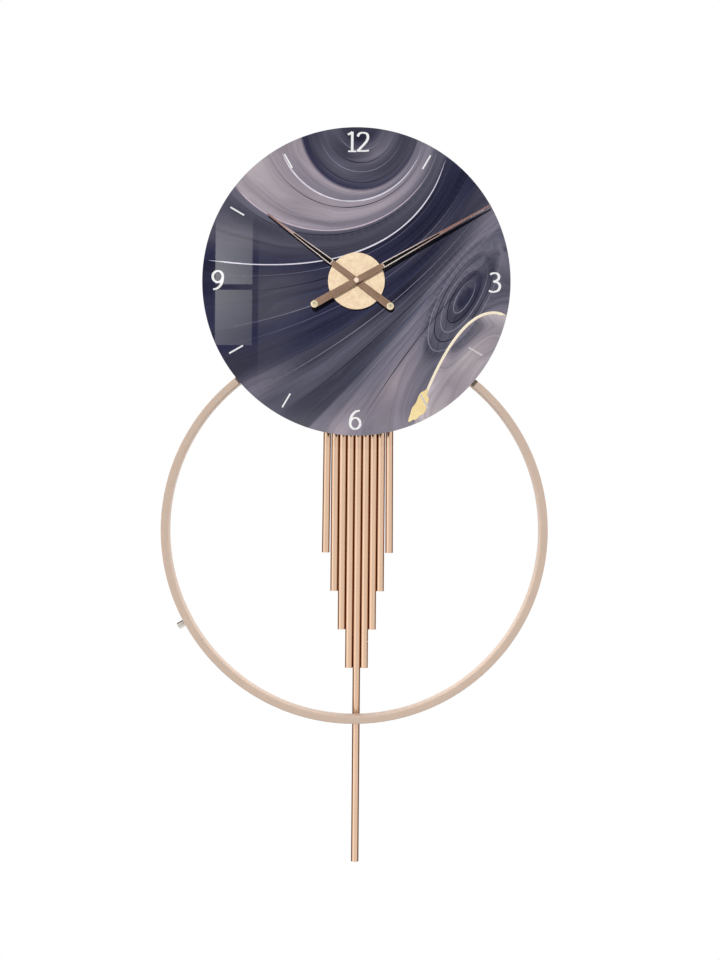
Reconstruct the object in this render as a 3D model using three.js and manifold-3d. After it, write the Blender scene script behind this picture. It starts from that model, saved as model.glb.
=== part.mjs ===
// Pendulum wall clock, in millimetres. +Z is up, the wall is the plane y = 0 and the clock faces -Y.
// Parts are placed round the dial's centre; the last group moves the origin to the hanger's wall face.
import * as THREE from "three";
import { mergeVertices } from "three/addons/utils/BufferGeometryUtils.js";
import Module from "manifold-3d";

const wasm = await Module();
wasm.setup();

// ---- Driving dimensions ----
const GAP = 0.3; // space left between parts that touch
const DIAL_R = 200;
const GLASS_T = 5;
const BOARD_T = 9;
const BOARD_BACK = -45; // y of the dial board's rear face
const RING_R = 253;
const RING_FACE = 10; // radial width of the band
const RING_DEPTH = 25;
const RING_Z = -323.4;
const STUD_ANGLE = 119; // degrees from the top, anticlockwise seen from the front
const HUB_R = 36.8;
const HUB_T = 4;
const TUBE_R = 4.95;
const TUBE_WALL = 0.8;
const TUBE_PITCH = 10.2;
const TUBE_COUNT = 9;
const TUBE_Y = -12;
const TUBE_STEP = 50.9; // each tube ends this much lower than the one outside it
const OUTER_TUBE_END = -354;
const SPLAY = 0.3; // degrees that each outermost tube hangs away from the others
const ROD_END = -763.5;
const HEADER_Z = -96; // underside of the bar that carries the tubes
const HEADER_T = 6;
const CASE_HALF_W = 28;
const CASE_TOP = 28;
const CASE_BOTTOM = -67;
const CASE_WALL = 1.6;
const CASE_REAR = -26; // y of the seam between the case and its cover
const PIVOT_Z = 22;
const PENDULUM_X = 4.5; // the pendulum hangs this far to the right of the hands' axis
const MINUTE_LENGTH = 198.5;
const MINUTE_ANGLE = 60.2; // about ten past ten
const HOUR_LENGTH = 144;
const HOUR_ANGLE = 306.5;
const HAND_GAP = 2.4; // between the two hands, so that the minute hand clears the hour hand's pin
const HANGER_Z = 150; // height of the hanger's wall face above the dial's centre
const STANDOFF_X = 150;
const STANDOFF_Z = -60;
const MINUTE_MODULE = 0.5; // 12-tooth pinion and 36-tooth wheel
const HOUR_MODULE = 0.48; // 10-tooth pinion and 40-tooth wheel
const SETTING_X = -12; // both pairs share this centre distance

const BOARD_FRONT = BOARD_BACK - BOARD_T;
const GLASS_FRONT = BOARD_FRONT - GLASS_T;
const CASE_FRONT = BOARD_BACK + GAP;
const COVER_FRONT = CASE_REAR + GAP;
const COVER_REAR = COVER_FRONT + CASE_WALL;
const HUB_BACK = GLASS_FRONT - GAP;
const HUB_FRONT = HUB_BACK - HUB_T;
const BUSH_R = 4;
const BUSH_FRONT = GLASS_FRONT - 3.2;
const PIPE_R = 2.6;
const ARBOR_R = 1.5;
const PIN_R = 1.5;
const ARM_FRONT = -18.8;
const ARM_REAR = -16.3;
const BAR_T = 1.5; // thickness of each hand
const HOUR_HAND_Y = HUB_FRONT - 1.2; // rear face
const MINUTE_HAND_Y = HOUR_HAND_Y - BAR_T - HAND_GAP;
const HOOK_Z = -76;
const RING_FRONT = BOARD_BACK + GAP;
const RING_BACK = RING_FRONT + RING_DEPTH;
const COIL_Z = -52;

// ---- Materials ----
const finish = (color, roughness, metalness) =>
  new THREE.MeshStandardMaterial({ color, roughness, metalness });
const GLASS = finish(0x4a4a62, 0.1, 0);
const BOARD = finish(0x4d4038, 0.8, 0);
const HUB_GOLD = finish(0xf3d6b0, 0.35, 1);
const CHAMPAGNE = finish(0xc9a58c, 0.35, 1);
const BRONZE = finish(0x8c705f, 0.4, 1);
const STEEL = finish(0xb8b8ba, 0.35, 1);
const BRASS = finish(0xc9a45c, 0.35, 1);
const COPPER = finish(0xb8683c, 0.4, 1);
const BLACK_PLASTIC = finish(0x1f1f22, 0.5, 0);
const WHITE_PLASTIC = finish(0xe8e6e0, 0.5, 0);
const RUBBER = finish(0x2a2a2a, 0.9, 0);
const CIRCUIT = finish(0x2d6b42, 0.6, 0);
const CELL = finish(0x8a8f96, 0.4, 0);

// ---- Solids ----
const rad = THREE.MathUtils.degToRad;

/** The closed solid of a geometry, with shared vertices and its faces pointing out. */
function solid(geometry) {
  geometry.deleteAttribute("normal");
  geometry.deleteAttribute("uv");
  const merged = mergeVertices(geometry, 1e-4);
  const place = merged.getAttribute("position");
  const corner = (i) => new THREE.Vector3().fromBufferAttribute(place, i);
  const triangles = [];
  let volume = 0;
  for (let i = 0; i < merged.index.count; i += 3) {
    const [a, b, c] = [0, 1, 2].map((k) => merged.index.getX(i + k));
    if (a === b || b === c || c === a) continue;
    triangles.push([a, b, c]);
    volume += corner(a).dot(corner(b).cross(corner(c)));
  }
  const outward = volume > 0 ? triangles : triangles.map(([a, b, c]) => [a, c, b]);
  return new wasm.Manifold(
    new wasm.Mesh({
      numProp: 3,
      vertProperties: new Float32Array(place.array),
      triVerts: new Uint32Array(outward.flat()),
    }),
  );
}

/** A lathed solid round the Y axis. Its profile is a list of [radius, y] points. */
function turned(profile, segments = 32) {
  const points = profile.map(([r, y]) => new THREE.Vector2(r, y));
  return solid(new THREE.LatheGeometry(points, segments));
}

/** A turned solid whose axis is Z instead: its profile is a list of [radius, z] points. */
function turnedZ(profile, segments = 24) {
  return turned(profile, segments).rotate([90, 0, 0]);
}

/** A disc or cylinder along Y, from y0 to y1. */
function rod(r, y0, y1, segments = 32) {
  return turned([[0, y0], [r, y0], [r, y1], [0, y1]], segments);
}

/** A ring or tube along Y, from y0 to y1. */
function sleeve(inner, outer, y0, y1, segments = 32) {
  return turned([[inner, y0], [outer, y0], [outer, y1], [inner, y1], [inner, y0]], segments);
}

/** A box from its lowest to its highest corner. */
function block([x0, y0, z0], [x1, y1, z1]) {
  const box = new THREE.BoxGeometry(x1 - x0, y1 - y0, z1 - z0);
  box.translate((x0 + x1) / 2, (y0 + y1) / 2, (z0 + z1) / 2);
  return solid(box);
}

/** A plate in the dial's plane: an XZ outline, with holes, from y0 (front) to y1 (rear). */
function plate(outline, y0, y1, holes = []) {
  const shape = new THREE.Shape(outline.map(([x, z]) => new THREE.Vector2(x, z)));
  shape.holes = holes.map((hole) => new THREE.Path(hole.map(([x, z]) => new THREE.Vector2(x, z))));
  const geometry = new THREE.ExtrudeGeometry(shape, { depth: y1 - y0, bevelEnabled: false });
  geometry.rotateX(Math.PI / 2);
  geometry.translate(0, y1, 0);
  return solid(geometry);
}

/** Points of an arc from one angle to another, both in degrees anticlockwise from +X. */
function arc(x, z, r, from, to, steps) {
  return Array.from({ length: steps + 1 }, (_, i) => {
    const a = rad(from + ((to - from) * i) / steps);
    return [x + r * Math.cos(a), z + r * Math.sin(a)];
  });
}

/** A spur gear's outline with tapered teeth, one of them centred on the +X axis. */
function gearOutline(teeth, module) {
  const pitch = (teeth * module) / 2;
  const step = 360 / teeth;
  const tooth = [
    [-0.23, -1.15],
    [-0.08, 0.85],
    [0.08, 0.85],
    [0.23, -1.15],
  ];
  return Array.from({ length: teeth }, (_, i) =>
    tooth.map(([share, height]) => {
      const a = rad((i + share) * step);
      const r = pitch + height * module;
      return [r * Math.cos(a), r * Math.sin(a)];
    }),
  ).flat();
}

const gear = (teeth, module, y0, y1) => plate(gearOutline(teeth, module), y0, y1);

// ---- The scene ----
const clock = new THREE.Group();

/** Adds a solid as a named mesh, turned about Y and moved to its place. */
function add(name, shape, material, { x = 0, z = 0, turn = 0, into = clock } = {}) {
  const { numProp, vertProperties, triVerts } = shape.getMesh();
  const geometry = new THREE.BufferGeometry();
  const stride = new THREE.InterleavedBuffer(vertProperties, numProp);
  geometry.setAttribute("position", new THREE.InterleavedBufferAttribute(stride, 3, 0));
  geometry.setIndex(new THREE.BufferAttribute(triVerts, 1));
  const mesh = new THREE.Mesh(geometry, material);
  mesh.name = name;
  mesh.position.set(x, 0, z);
  mesh.rotation.y = rad(turn);
  into.add(mesh);
  return mesh;
}

/** A pan-head screw along Y: its head stands behind y, on the +Y side, and its shank goes forward. */
function screw(headR, headT, shankR, length) {
  return turned([
    [0, -length],
    [shankR * 0.5, -length],
    [shankR, -length + shankR],
    [shankR, 0],
    [headR, 0],
    [headR, headT * 0.5],
    [headR * 0.7, headT],
    [0, headT],
  ], 12);
}

// ---- Dial: board, glass and hub disc ----
const WOOD_SCREW = { headR: 3.4, headT: 1.8, shankR: 1.5, length: 8.5 };
const woodScrew = () =>
  screw(WOOD_SCREW.headR, WOOD_SCREW.headT, WOOD_SCREW.shankR, WOOD_SCREW.length);
const pilotHole = (x, z) =>
  rod(WOOD_SCREW.shankR + GAP, BOARD_BACK - WOOD_SCREW.length + 2, BOARD_BACK + 1, 12)
    .translate([x, 0, z]);

const HANGER_SCREWS = [[-47, HANGER_Z - 15], [47, HANGER_Z - 15], [-47, HANGER_Z + 15],
  [47, HANGER_Z + 15]];
const STANDOFFS = [["left", -STANDOFF_X], ["right", STANDOFF_X]];
const BRACKET_ANGLE = 16; // ring brackets, degrees either side of the ring's top
const BRACKET_REACH = 14; // from the band's outer face to the bracket's wood screw
const bracketPoint = (side) => {
  const r = RING_R + BRACKET_REACH;
  const a = rad(BRACKET_ANGLE * side);
  return [r * Math.sin(a), RING_Z + r * Math.cos(a)];
};
const BRACKET_SIDES = [["left", -1], ["right", 1]];

let board = sleeve(BUSH_R + 0.5, DIAL_R - 1, BOARD_FRONT, BOARD_BACK, 80);
const boardHoles = [...HANGER_SCREWS, ...BRACKET_SIDES.map(([, side]) => bracketPoint(side))];
for (const [x, z] of boardHoles) board = board.subtract(pilotHole(x, z));
add("dial_board", board, BOARD);

add("dial_glass", sleeve(BUSH_R + 0.5, DIAL_R, GLASS_FRONT, BOARD_FRONT - GAP, 96), GLASS);

const NUT_POCKET_R = 9;
add("hub_disc", turned([
  [PIPE_R + 0.9, HUB_FRONT],
  [HUB_R - 0.4, HUB_FRONT],
  [HUB_R, HUB_FRONT + 0.4],
  [HUB_R, HUB_BACK],
  [NUT_POCKET_R, HUB_BACK],
  [NUT_POCKET_R, BUSH_FRONT - GAP],
  [PIPE_R + 0.9, BUSH_FRONT - GAP],
  [PIPE_R + 0.9, HUB_FRONT],
], 48), HUB_GOLD);

const WASHER_R = 7.5;
const WASHER_T = 0.6;
const NUT_R = 6.6; // over its corners
const washerBack = GLASS_FRONT - GAP;
const nutBack = washerBack - WASHER_T - GAP;
add("clamp_washer", sleeve(BUSH_R + GAP, WASHER_R, washerBack - WASHER_T, washerBack, 24), STEEL);
const nutBlank = rod(NUT_R, BUSH_FRONT + 0.1, nutBack, 6);
add("clamp_nut", nutBlank.subtract(rod(BUSH_R + GAP, BUSH_FRONT - 1, GLASS_FRONT, 32)), BRASS);

// ---- Movement: case with its threaded bush, bosses and cradle ----
const CASE_INSIDE = CASE_FRONT + CASE_WALL;
const BATTERY_Z = 18.4;
const BATTERY_Y = -34.5;
const BATTERY_R = 7.1;
const BATTERY_HALF = 22.3;
const AXLE_R = 1; // of the setting wheel
const AXLE_REAR = -29;
const STATOR_X = 20;
const STATOR_FRONT = -41;
const STATOR_REAR = -40;
const CIRCUIT_Z = -32;
const CIRCUIT_FRONT = -41.2;
const CIRCUIT_REAR = -40;
const COIL_FRONT = -40;
const COIL_REAR = -30;
const boss = (x, z, r, to) => rod(r, CASE_INSIDE - 0.5, to, 16).translate([x, 0, z]);

let movementCase = block(
  [-CASE_HALF_W, CASE_FRONT, CASE_BOTTOM],
  [CASE_HALF_W, CASE_REAR, CASE_TOP],
).subtract(block(
  [-CASE_HALF_W + CASE_WALL, CASE_INSIDE, CASE_BOTTOM + CASE_WALL],
  [CASE_HALF_W - CASE_WALL, CASE_REAR + 1, CASE_TOP - CASE_WALL],
));
movementCase = movementCase.add(rod(BUSH_R, BUSH_FRONT, CASE_INSIDE, 32))
  .subtract(rod(PIPE_R + 0.3, BUSH_FRONT - 1, CASE_INSIDE + 1, 32))
  .add(boss(SETTING_X, 0, AXLE_R, AXLE_REAR))
  .add(boss(STATOR_X, -9, 1.6, STATOR_FRONT - GAP))
  .add(boss(-16, CIRCUIT_Z, 2, CIRCUIT_FRONT - GAP))
  .add(boss(16, CIRCUIT_Z, 2, CIRCUIT_FRONT - GAP))
  .add(boss(PENDULUM_X, COIL_Z, 2, COIL_FRONT - GAP));
for (const x of [-14, 14]) {
  const rib = block([x - 1, CASE_INSIDE - 0.5, 12], [x + 1, BATTERY_Y, 25]);
  movementCase = movementCase.add(rib.subtract(
    rod(BATTERY_R + 0.4, -3, 3, 32).rotate([0, 0, 90]).translate([x, BATTERY_Y, BATTERY_Z])));
}
const COVER_SCREWS = [[-23, CASE_BOTTOM + 5], [23, CASE_BOTTOM + 5]];
const COVER_SCREW_R = 1;
const COVER_HOLE_R = COVER_SCREW_R + GAP;
for (const [x, z] of COVER_SCREWS) {
  movementCase = movementCase.add(boss(x, z, 2.4, CASE_REAR - GAP))
    .subtract(rod(COVER_HOLE_R, CASE_REAR - 9, CASE_REAR + 1, 16).translate([x, 0, z]));
}
add("movement_case", movementCase, BLACK_PLASTIC);

const KNOB_R = 4.4;
let cover = block(
  [-CASE_HALF_W, COVER_FRONT, CASE_BOTTOM],
  [CASE_HALF_W, COVER_REAR, CASE_TOP],
).subtract(rod(2.4, COVER_FRONT - 1, COVER_REAR + 1, 24).translate([SETTING_X, 0, 0]))
  .subtract(rod(ARBOR_R + 0.1, COVER_FRONT - 1, COVER_FRONT + 0.9, 24))
  .subtract(rod(PIN_R + GAP, COVER_FRONT - 1, COVER_REAR + 3, 24)
    .translate([PENDULUM_X, 0, PIVOT_Z]));
for (const [x, z] of COVER_SCREWS) {
  const hole = rod(COVER_HOLE_R, COVER_FRONT - 1, COVER_REAR + 1, 16);
  cover = cover.subtract(hole.translate([x, 0, z]));
}
add("movement_cover", cover, BLACK_PLASTIC);
COVER_SCREWS.forEach(([x, z], i) => {
  const shape = screw(2.1, 1.2, COVER_SCREW_R, 6).translate([0, COVER_REAR + GAP, 0]);
  add(`cover_screw_${i + 1}`, shape, STEEL, { x, z });
});

// ---- Battery, electronics and coils ----
const CELL_PROFILE = [
  [0, -BATTERY_HALF],
  [BATTERY_R - 0.5, -BATTERY_HALF],
  [BATTERY_R, -BATTERY_HALF + 0.5],
  [BATTERY_R, BATTERY_HALF - 0.5],
  [BATTERY_R - 0.5, BATTERY_HALF],
  [2.7, BATTERY_HALF],
  [2.7, BATTERY_HALF + 1.4],
  [0, BATTERY_HALF + 1.4],
];
add("battery",
  turned(CELL_PROFILE, 24).rotate([0, 0, -90]).translate([0, BATTERY_Y, BATTERY_Z]), CELL);
const contact = (x) => block(
  [x - 0.25, BATTERY_Y - 5, BATTERY_Z - 6],
  [x + 0.25, BATTERY_Y + 5, BATTERY_Z + 6],
);
add("battery_contact_negative", contact(-BATTERY_HALF - 0.7), STEEL);
add("battery_contact_positive", contact(BATTERY_HALF + 2), STEEL);

add("circuit_board", block(
  [-21, CIRCUIT_FRONT, CIRCUIT_Z - 5],
  [21, CIRCUIT_REAR, CIRCUIT_Z + 5],
), CIRCUIT);

/** A bobbin with two flanges and its winding, along Z, between z0 and z1. */
function bobbin(coreR, flangeR, z0, z1, flangeT) {
  return turnedZ([
    [0, z0], [flangeR, z0], [flangeR, z0 + flangeT], [coreR, z0 + flangeT],
    [coreR, z1 - flangeT], [flangeR, z1 - flangeT], [flangeR, z1], [0, z1],
  ]);
}
add("stepper_coil",
  bobbin(3.1, 3.9, -19, 3, 1.2).translate([STATOR_X, -35.6, 0]), COPPER);
add("stepper_stator", plate([
  [12.6, -20], [24.5, -20], [24.5, 5], [12.6, 5], [12.6, 1], [16, 1], [16, -16], [12.6, -16],
], STATOR_FRONT, STATOR_REAR), STEEL);
add("drive_coil", sleeve(2.6, 9, COIL_FRONT, COIL_REAR, 24), COPPER,
  { x: PENDULUM_X, z: COIL_Z });

// ---- Gears. Each pair is in mesh at rest: a tooth of one faces a gap of the other. ----
const minuteTurn = new THREE.Group();
const hourTurn = new THREE.Group();
const settingTurn = new THREE.Group();
clock.add(minuteTurn, hourTurn, settingTurn);

const RUNNING_FIT = 0.15; // radial clearance between turning parts
const ARBOR_REAR = COVER_FRONT + 0.6;
const ARBOR_FRONT = MINUTE_HAND_Y - BAR_T - 1.2;
const HOUR_WHEEL_FRONT = -38.4;
const HOUR_WHEEL_REAR = -36.4;
const MINUTE_WHEEL_FRONT = -32.4;
const MINUTE_WHEEL_REAR = -30.2;

const arbor = turned([
  [0, ARBOR_REAR],
  [ARBOR_R, ARBOR_REAR],
  [ARBOR_R, ARBOR_FRONT],
  [0, ARBOR_FRONT],
], 24).add(gear(12, MINUTE_MODULE, MINUTE_WHEEL_FRONT - 0.6, MINUTE_WHEEL_REAR + 0.7)
  .rotate([0, 15, 0]));
add("minute_arbor", arbor, BRASS, { into: minuteTurn });

const hourWheel = gear(40, HOUR_MODULE, HOUR_WHEEL_FRONT, HOUR_WHEEL_REAR)
  .add(rod(PIPE_R, HOUR_HAND_Y - BAR_T, HOUR_WHEEL_REAR, 24))
  .subtract(rod(ARBOR_R + RUNNING_FIT, HOUR_HAND_Y - BAR_T - 1, HOUR_WHEEL_REAR + 1, 24));
add("hour_wheel", hourWheel, BRASS, { into: hourTurn });

const KNOB_FRONT = COVER_REAR + 0.6;
const SETTING_PINION_FRONT = HOUR_WHEEL_FRONT - 0.4;
const SETTING_PINION_REAR = HOUR_WHEEL_REAR + 0.4;
const settingWheel = gear(36, MINUTE_MODULE, MINUTE_WHEEL_FRONT, MINUTE_WHEEL_REAR)
  .add(gear(10, HOUR_MODULE, SETTING_PINION_FRONT, SETTING_PINION_REAR).rotate([0, 18, 0]))
  .add(rod(1.7, SETTING_PINION_REAR, MINUTE_WHEEL_FRONT, 20))
  .add(rod(1.9, MINUTE_WHEEL_REAR, KNOB_FRONT - GAP, 20))
  .subtract(rod(AXLE_R + RUNNING_FIT, SETTING_PINION_FRONT - 1, AXLE_REAR + 0.4, 20));
add("setting_wheel", settingWheel, WHITE_PLASTIC, { x: SETTING_X, into: settingTurn });

const knobOutline = Array.from({ length: 48 }, (_, i) => {
  const r = KNOB_R - (i % 4 < 2 ? 0 : 0.35);
  const a = rad(i * 7.5);
  return [r * Math.cos(a), r * Math.sin(a)];
});
add("setting_knob", plate(knobOutline, KNOB_FRONT, KNOB_FRONT + 3), WHITE_PLASTIC,
  { x: SETTING_X, into: settingTurn });

// ---- Hands: a solid bar at the hub, two thin rails, then a solid tapered point ----
const TAIL_HALF_W = 5; // each hand narrows all the way from its tail to its tip
const BAR_HALF_W = 3.6; // at the end of the solid bar
const POINT_HALF_W = 2; // at the start of the solid point
const TIP_HALF_W = 0.8;
const RAIL_W = 1.2;
const BAR_END = 39.7; // from the centre to the end of the solid bar
const MINUTE_RAIL_END = 123;
const HOUR_RAIL_END = 101.5;
const RIVET_R = 1.3;
const DOME_R = 4.8;
const DOME_RIM = 0.4;
const DOME_RISE = 1.2;

/** A hand that points up the Z axis, with its hole for the hub and one for the pin in its tail. */
function hand(length, railEnd, holeR, pinZ, rear) {
  const outline = [
    [BAR_HALF_W, BAR_END],
    [POINT_HALF_W, railEnd],
    [TIP_HALF_W, length],
    [-TIP_HALF_W, length],
    [-POINT_HALF_W, railEnd],
    [-BAR_HALF_W, BAR_END],
    ...arc(0, pinZ, TAIL_HALF_W, 180, 360, 10),
  ];
  const slot = [
    [BAR_HALF_W - RAIL_W, BAR_END + 1],
    [POINT_HALF_W - RAIL_W, railEnd],
    [-POINT_HALF_W + RAIL_W, railEnd],
    [-BAR_HALF_W + RAIL_W, BAR_END + 1],
  ];
  return plate(outline, rear - BAR_T, rear, [slot])
    .subtract(rod(holeR, rear - BAR_T - 1, rear + 1, 24))
    .subtract(rod(RIVET_R + GAP, rear - BAR_T - 1, rear + 1, 20).translate([0, 0, pinZ]));
}

/** The domed pin riveted into a hand's tail. */
function tailPin(rear) {
  const under = rear - BAR_T - GAP;
  const dome = Array.from({ length: 5 }, (_, i) => {
    const a = rad(22.5 * i);
    return [DOME_R * Math.cos(a), under - DOME_RIM - DOME_RISE * Math.sin(a)];
  });
  return turned([[0, rear], [RIVET_R, rear], [RIVET_R, under], [DOME_R, under], ...dome], 20);
}

const MINUTE_PIN_Z = -62.2;
const HOUR_PIN_Z = -54.8;
const minuteHand = new THREE.Group();
minuteHand.rotation.y = rad(MINUTE_ANGLE);
minuteTurn.add(minuteHand);
add("minute_hand",
  hand(MINUTE_LENGTH, MINUTE_RAIL_END, ARBOR_R + RUNNING_FIT, MINUTE_PIN_Z, MINUTE_HAND_Y),
  BRONZE, { into: minuteHand });
add("minute_hand_pin", tailPin(MINUTE_HAND_Y), CHAMPAGNE, { z: MINUTE_PIN_Z, into: minuteHand });

const hourHand = new THREE.Group();
hourHand.rotation.y = rad(HOUR_ANGLE);
hourTurn.add(hourHand);
add("hour_hand",
  hand(HOUR_LENGTH, HOUR_RAIL_END, PIPE_R + RUNNING_FIT, HOUR_PIN_Z, HOUR_HAND_Y),
  BRONZE, { into: hourHand });
add("hour_hand_pin", tailPin(HOUR_HAND_Y), CHAMPAGNE, { z: HOUR_PIN_Z, into: hourHand });

const CAP_R = 3.5;
const CAP_BACK = MINUTE_HAND_Y - BAR_T - GAP;
const capFloor = ARBOR_FRONT - GAP;
add("centre_cap", turned([
  [ARBOR_R + GAP, CAP_BACK],
  [CAP_R, CAP_BACK],
  [CAP_R, CAP_BACK - 1.4],
  [CAP_R - 0.9, CAP_BACK - 2.4],
  [0, CAP_BACK - 2.8],
  [0, capFloor],
  [ARBOR_R + GAP, capFloor],
  [ARBOR_R + GAP, CAP_BACK],
], 24), CHAMPAGNE, { into: minuteTurn });

// ---- Ring, stud and brackets. Brackets and stud are placed round the ring's centre. ----
const ring = new THREE.Group();
ring.position.z = RING_Z;
clock.add(ring);

const BRACKET_T = 2;
const BRACKET_HALF_W = 8;
const BRACKET_RISE = 24; // of the leg behind the dial board
const BAND_SCREW_Y = RING_BACK - 9;
const BAND_SCREW_R = 1.5;
const STUD_R = 4.4;
const STUD_LENGTH = 10.3;
const STUD_SHANK_R = 2;
const STUD_SHANK = 5; // how far the stud's shank goes into the band
const radialHole = (r, y, angle, from, to) => turnedZ([[0, from], [r, from], [r, to], [0, to]], 20)
  .translate([0, y, 0]).rotate([0, angle, 0]);
const STUD_Y = (RING_FRONT + RING_BACK) / 2;
let band = sleeve(RING_R - RING_FACE, RING_R, RING_FRONT, RING_BACK, 128);
for (const [, side] of BRACKET_SIDES) {
  band = band.subtract(radialHole(BAND_SCREW_R + GAP, BAND_SCREW_Y, side * BRACKET_ANGLE,
    RING_R - RING_FACE + 2, RING_R + 1));
}
band = band.subtract(radialHole(STUD_SHANK_R + GAP, STUD_Y, -STUD_ANGLE,
  RING_R - STUD_SHANK - 1, RING_R + 1));
add("ring_frame", band, CHAMPAGNE, { into: ring });

add("ring_stud", turnedZ([
  [0, RING_R - STUD_SHANK],
  [STUD_SHANK_R, RING_R - STUD_SHANK],
  [STUD_SHANK_R, RING_R + GAP],
  [STUD_R, RING_R + GAP],
  [STUD_R, RING_R + STUD_LENGTH - 0.6],
  [STUD_R - 0.6, RING_R + STUD_LENGTH],
  [0, RING_R + STUD_LENGTH],
], 20).translate([0, STUD_Y, 0]), STEEL, { turn: -STUD_ANGLE, into: ring });

for (const [side, sign] of BRACKET_SIDES) {
  const footR = RING_R + GAP;
  const bracket = block(
    [-BRACKET_HALF_W, CASE_FRONT, footR],
    [BRACKET_HALF_W, CASE_FRONT + BRACKET_T, footR + BRACKET_RISE],
  )
    .add(block(
      [-BRACKET_HALF_W, CASE_FRONT, footR],
      [BRACKET_HALF_W, BAND_SCREW_Y + 6, footR + BRACKET_T],
    ))
    .subtract(turnedZ([
      [0, RING_R - 1], [BAND_SCREW_R + GAP, RING_R - 1],
      [BAND_SCREW_R + GAP, RING_R + 5], [0, RING_R + 5],
    ], 20).translate([0, BAND_SCREW_Y, 0]))
    .subtract(rod(WOOD_SCREW.shankR + GAP, BOARD_BACK, BOARD_BACK + 5, 20)
      .translate([0, 0, RING_R + BRACKET_REACH]));
  add(`ring_bracket_${side}`, bracket, STEEL, { turn: sign * BRACKET_ANGLE, into: ring });
  const bandScrew = screw(2.9, 1.6, BAND_SCREW_R, 8).rotate([90, 0, 0])
    .translate([0, BAND_SCREW_Y, footR + BRACKET_T + GAP]);
  add(`band_screw_${side}`, bandScrew, STEEL, { turn: sign * BRACKET_ANGLE, into: ring });
  const [x, z] = bracketPoint(sign);
  add(`bracket_screw_${side}`,
    woodScrew().translate([0, CASE_FRONT + BRACKET_T + GAP, 0]), STEEL, { x, z });
}

// ---- Hanger: a folded strip with a keyhole in its wall face ----
const SHEET_T = 2;
const HANGER_HALF_W = 36;
const HANGER_HALF_H = 24;
const FLANGE_END = 56;
const KEYHOLE_Z = 9; // centre of the keyhole's round part, above the hanger's middle
const KEYHOLE_R = 5;
const KEYHOLE_SLOT_HALF_W = 2.6;
const KEYHOLE_SLOT_RISE = 10;
const flangeRear = CASE_FRONT + SHEET_T;
const channel = [
  [FLANGE_END, CASE_FRONT],
  [FLANGE_END, flangeRear],
  [HANGER_HALF_W, flangeRear],
  [HANGER_HALF_W, 0],
  [-HANGER_HALF_W, 0],
  [-HANGER_HALF_W, flangeRear],
  [-FLANGE_END, flangeRear],
  [-FLANGE_END, CASE_FRONT],
  [-HANGER_HALF_W + SHEET_T, CASE_FRONT],
  [-HANGER_HALF_W + SHEET_T, -SHEET_T],
  [HANGER_HALF_W - SHEET_T, -SHEET_T],
  [HANGER_HALF_W - SHEET_T, CASE_FRONT],
];
const channelShape = new THREE.Shape(channel.map(([x, y]) => new THREE.Vector2(x, y)));
const channelSolid = new THREE.ExtrudeGeometry(channelShape,
  { depth: 2 * HANGER_HALF_H, bevelEnabled: false });
channelSolid.translate(0, 0, -HANGER_HALF_H);
let hanger = solid(channelSolid)
  .subtract(rod(KEYHOLE_R, -SHEET_T - 1, 1, 28).translate([0, 0, KEYHOLE_Z]))
  .subtract(block(
    [-KEYHOLE_SLOT_HALF_W, -SHEET_T - 1, KEYHOLE_Z],
    [KEYHOLE_SLOT_HALF_W, 1, KEYHOLE_Z + KEYHOLE_SLOT_RISE],
  ));
for (const [x, z] of HANGER_SCREWS) {
  hanger = hanger.subtract(rod(WOOD_SCREW.shankR + GAP, CASE_FRONT - 1, flangeRear + 1, 20)
    .translate([x, 0, z - HANGER_Z]));
}
add("hanger_bracket", hanger, STEEL, { z: HANGER_Z });
HANGER_SCREWS.forEach(([x, z], i) => {
  add(`hanger_screw_${i + 1}`, woodScrew().translate([0, flangeRear + GAP, 0]), STEEL, { x, z });
});

// ---- Standoffs: turned posts with rubber feet ----
const POST_R = 6;
const POST_REAR = -4;
for (const [side, x] of STANDOFFS) {
  add(`standoff_${side}`, turned([
    [0, CASE_FRONT],
    [POST_R + 3, CASE_FRONT],
    [POST_R + 3, CASE_FRONT + 2],
    [POST_R, CASE_FRONT + 4],
    [POST_R, POST_REAR],
    [0, POST_REAR],
  ], 20), BLACK_PLASTIC, { x, z: STANDOFF_Z });
  add(`standoff_foot_${side}`, turned([
    [0, POST_REAR + GAP],
    [7, POST_REAR + GAP],
    [7, -1],
    [6, 0],
    [0, 0],
  ], 20), RUBBER, { x, z: STANDOFF_Z });
}

// ---- Pendulum: pivot pin and clip on the cover, then the arm, magnet, header and tubes ----
const pendulum = new THREE.Group();
pendulum.position.x = PENDULUM_X;
clock.add(pendulum);

const PIN_COLLAR_R = 3;
const PIN_REAR = -14.4;
add("pivot_pin", turned([
  [0, COVER_FRONT - 1],
  [PIN_R, COVER_FRONT - 1],
  [PIN_R, COVER_REAR + GAP],
  [PIN_COLLAR_R, COVER_REAR + GAP],
  [PIN_COLLAR_R, ARM_FRONT - 0.5],
  [PIN_R, ARM_FRONT - 0.5],
  [PIN_R, PIN_REAR],
  [0, PIN_REAR],
], 20), STEEL, { z: PIVOT_Z, into: pendulum });
add("pivot_clip", sleeve(PIN_R + 0.1, 3.2, ARM_REAR + 0.8, ARM_REAR + 1.6, 24), STEEL,
  { z: PIVOT_Z, into: pendulum });

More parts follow.
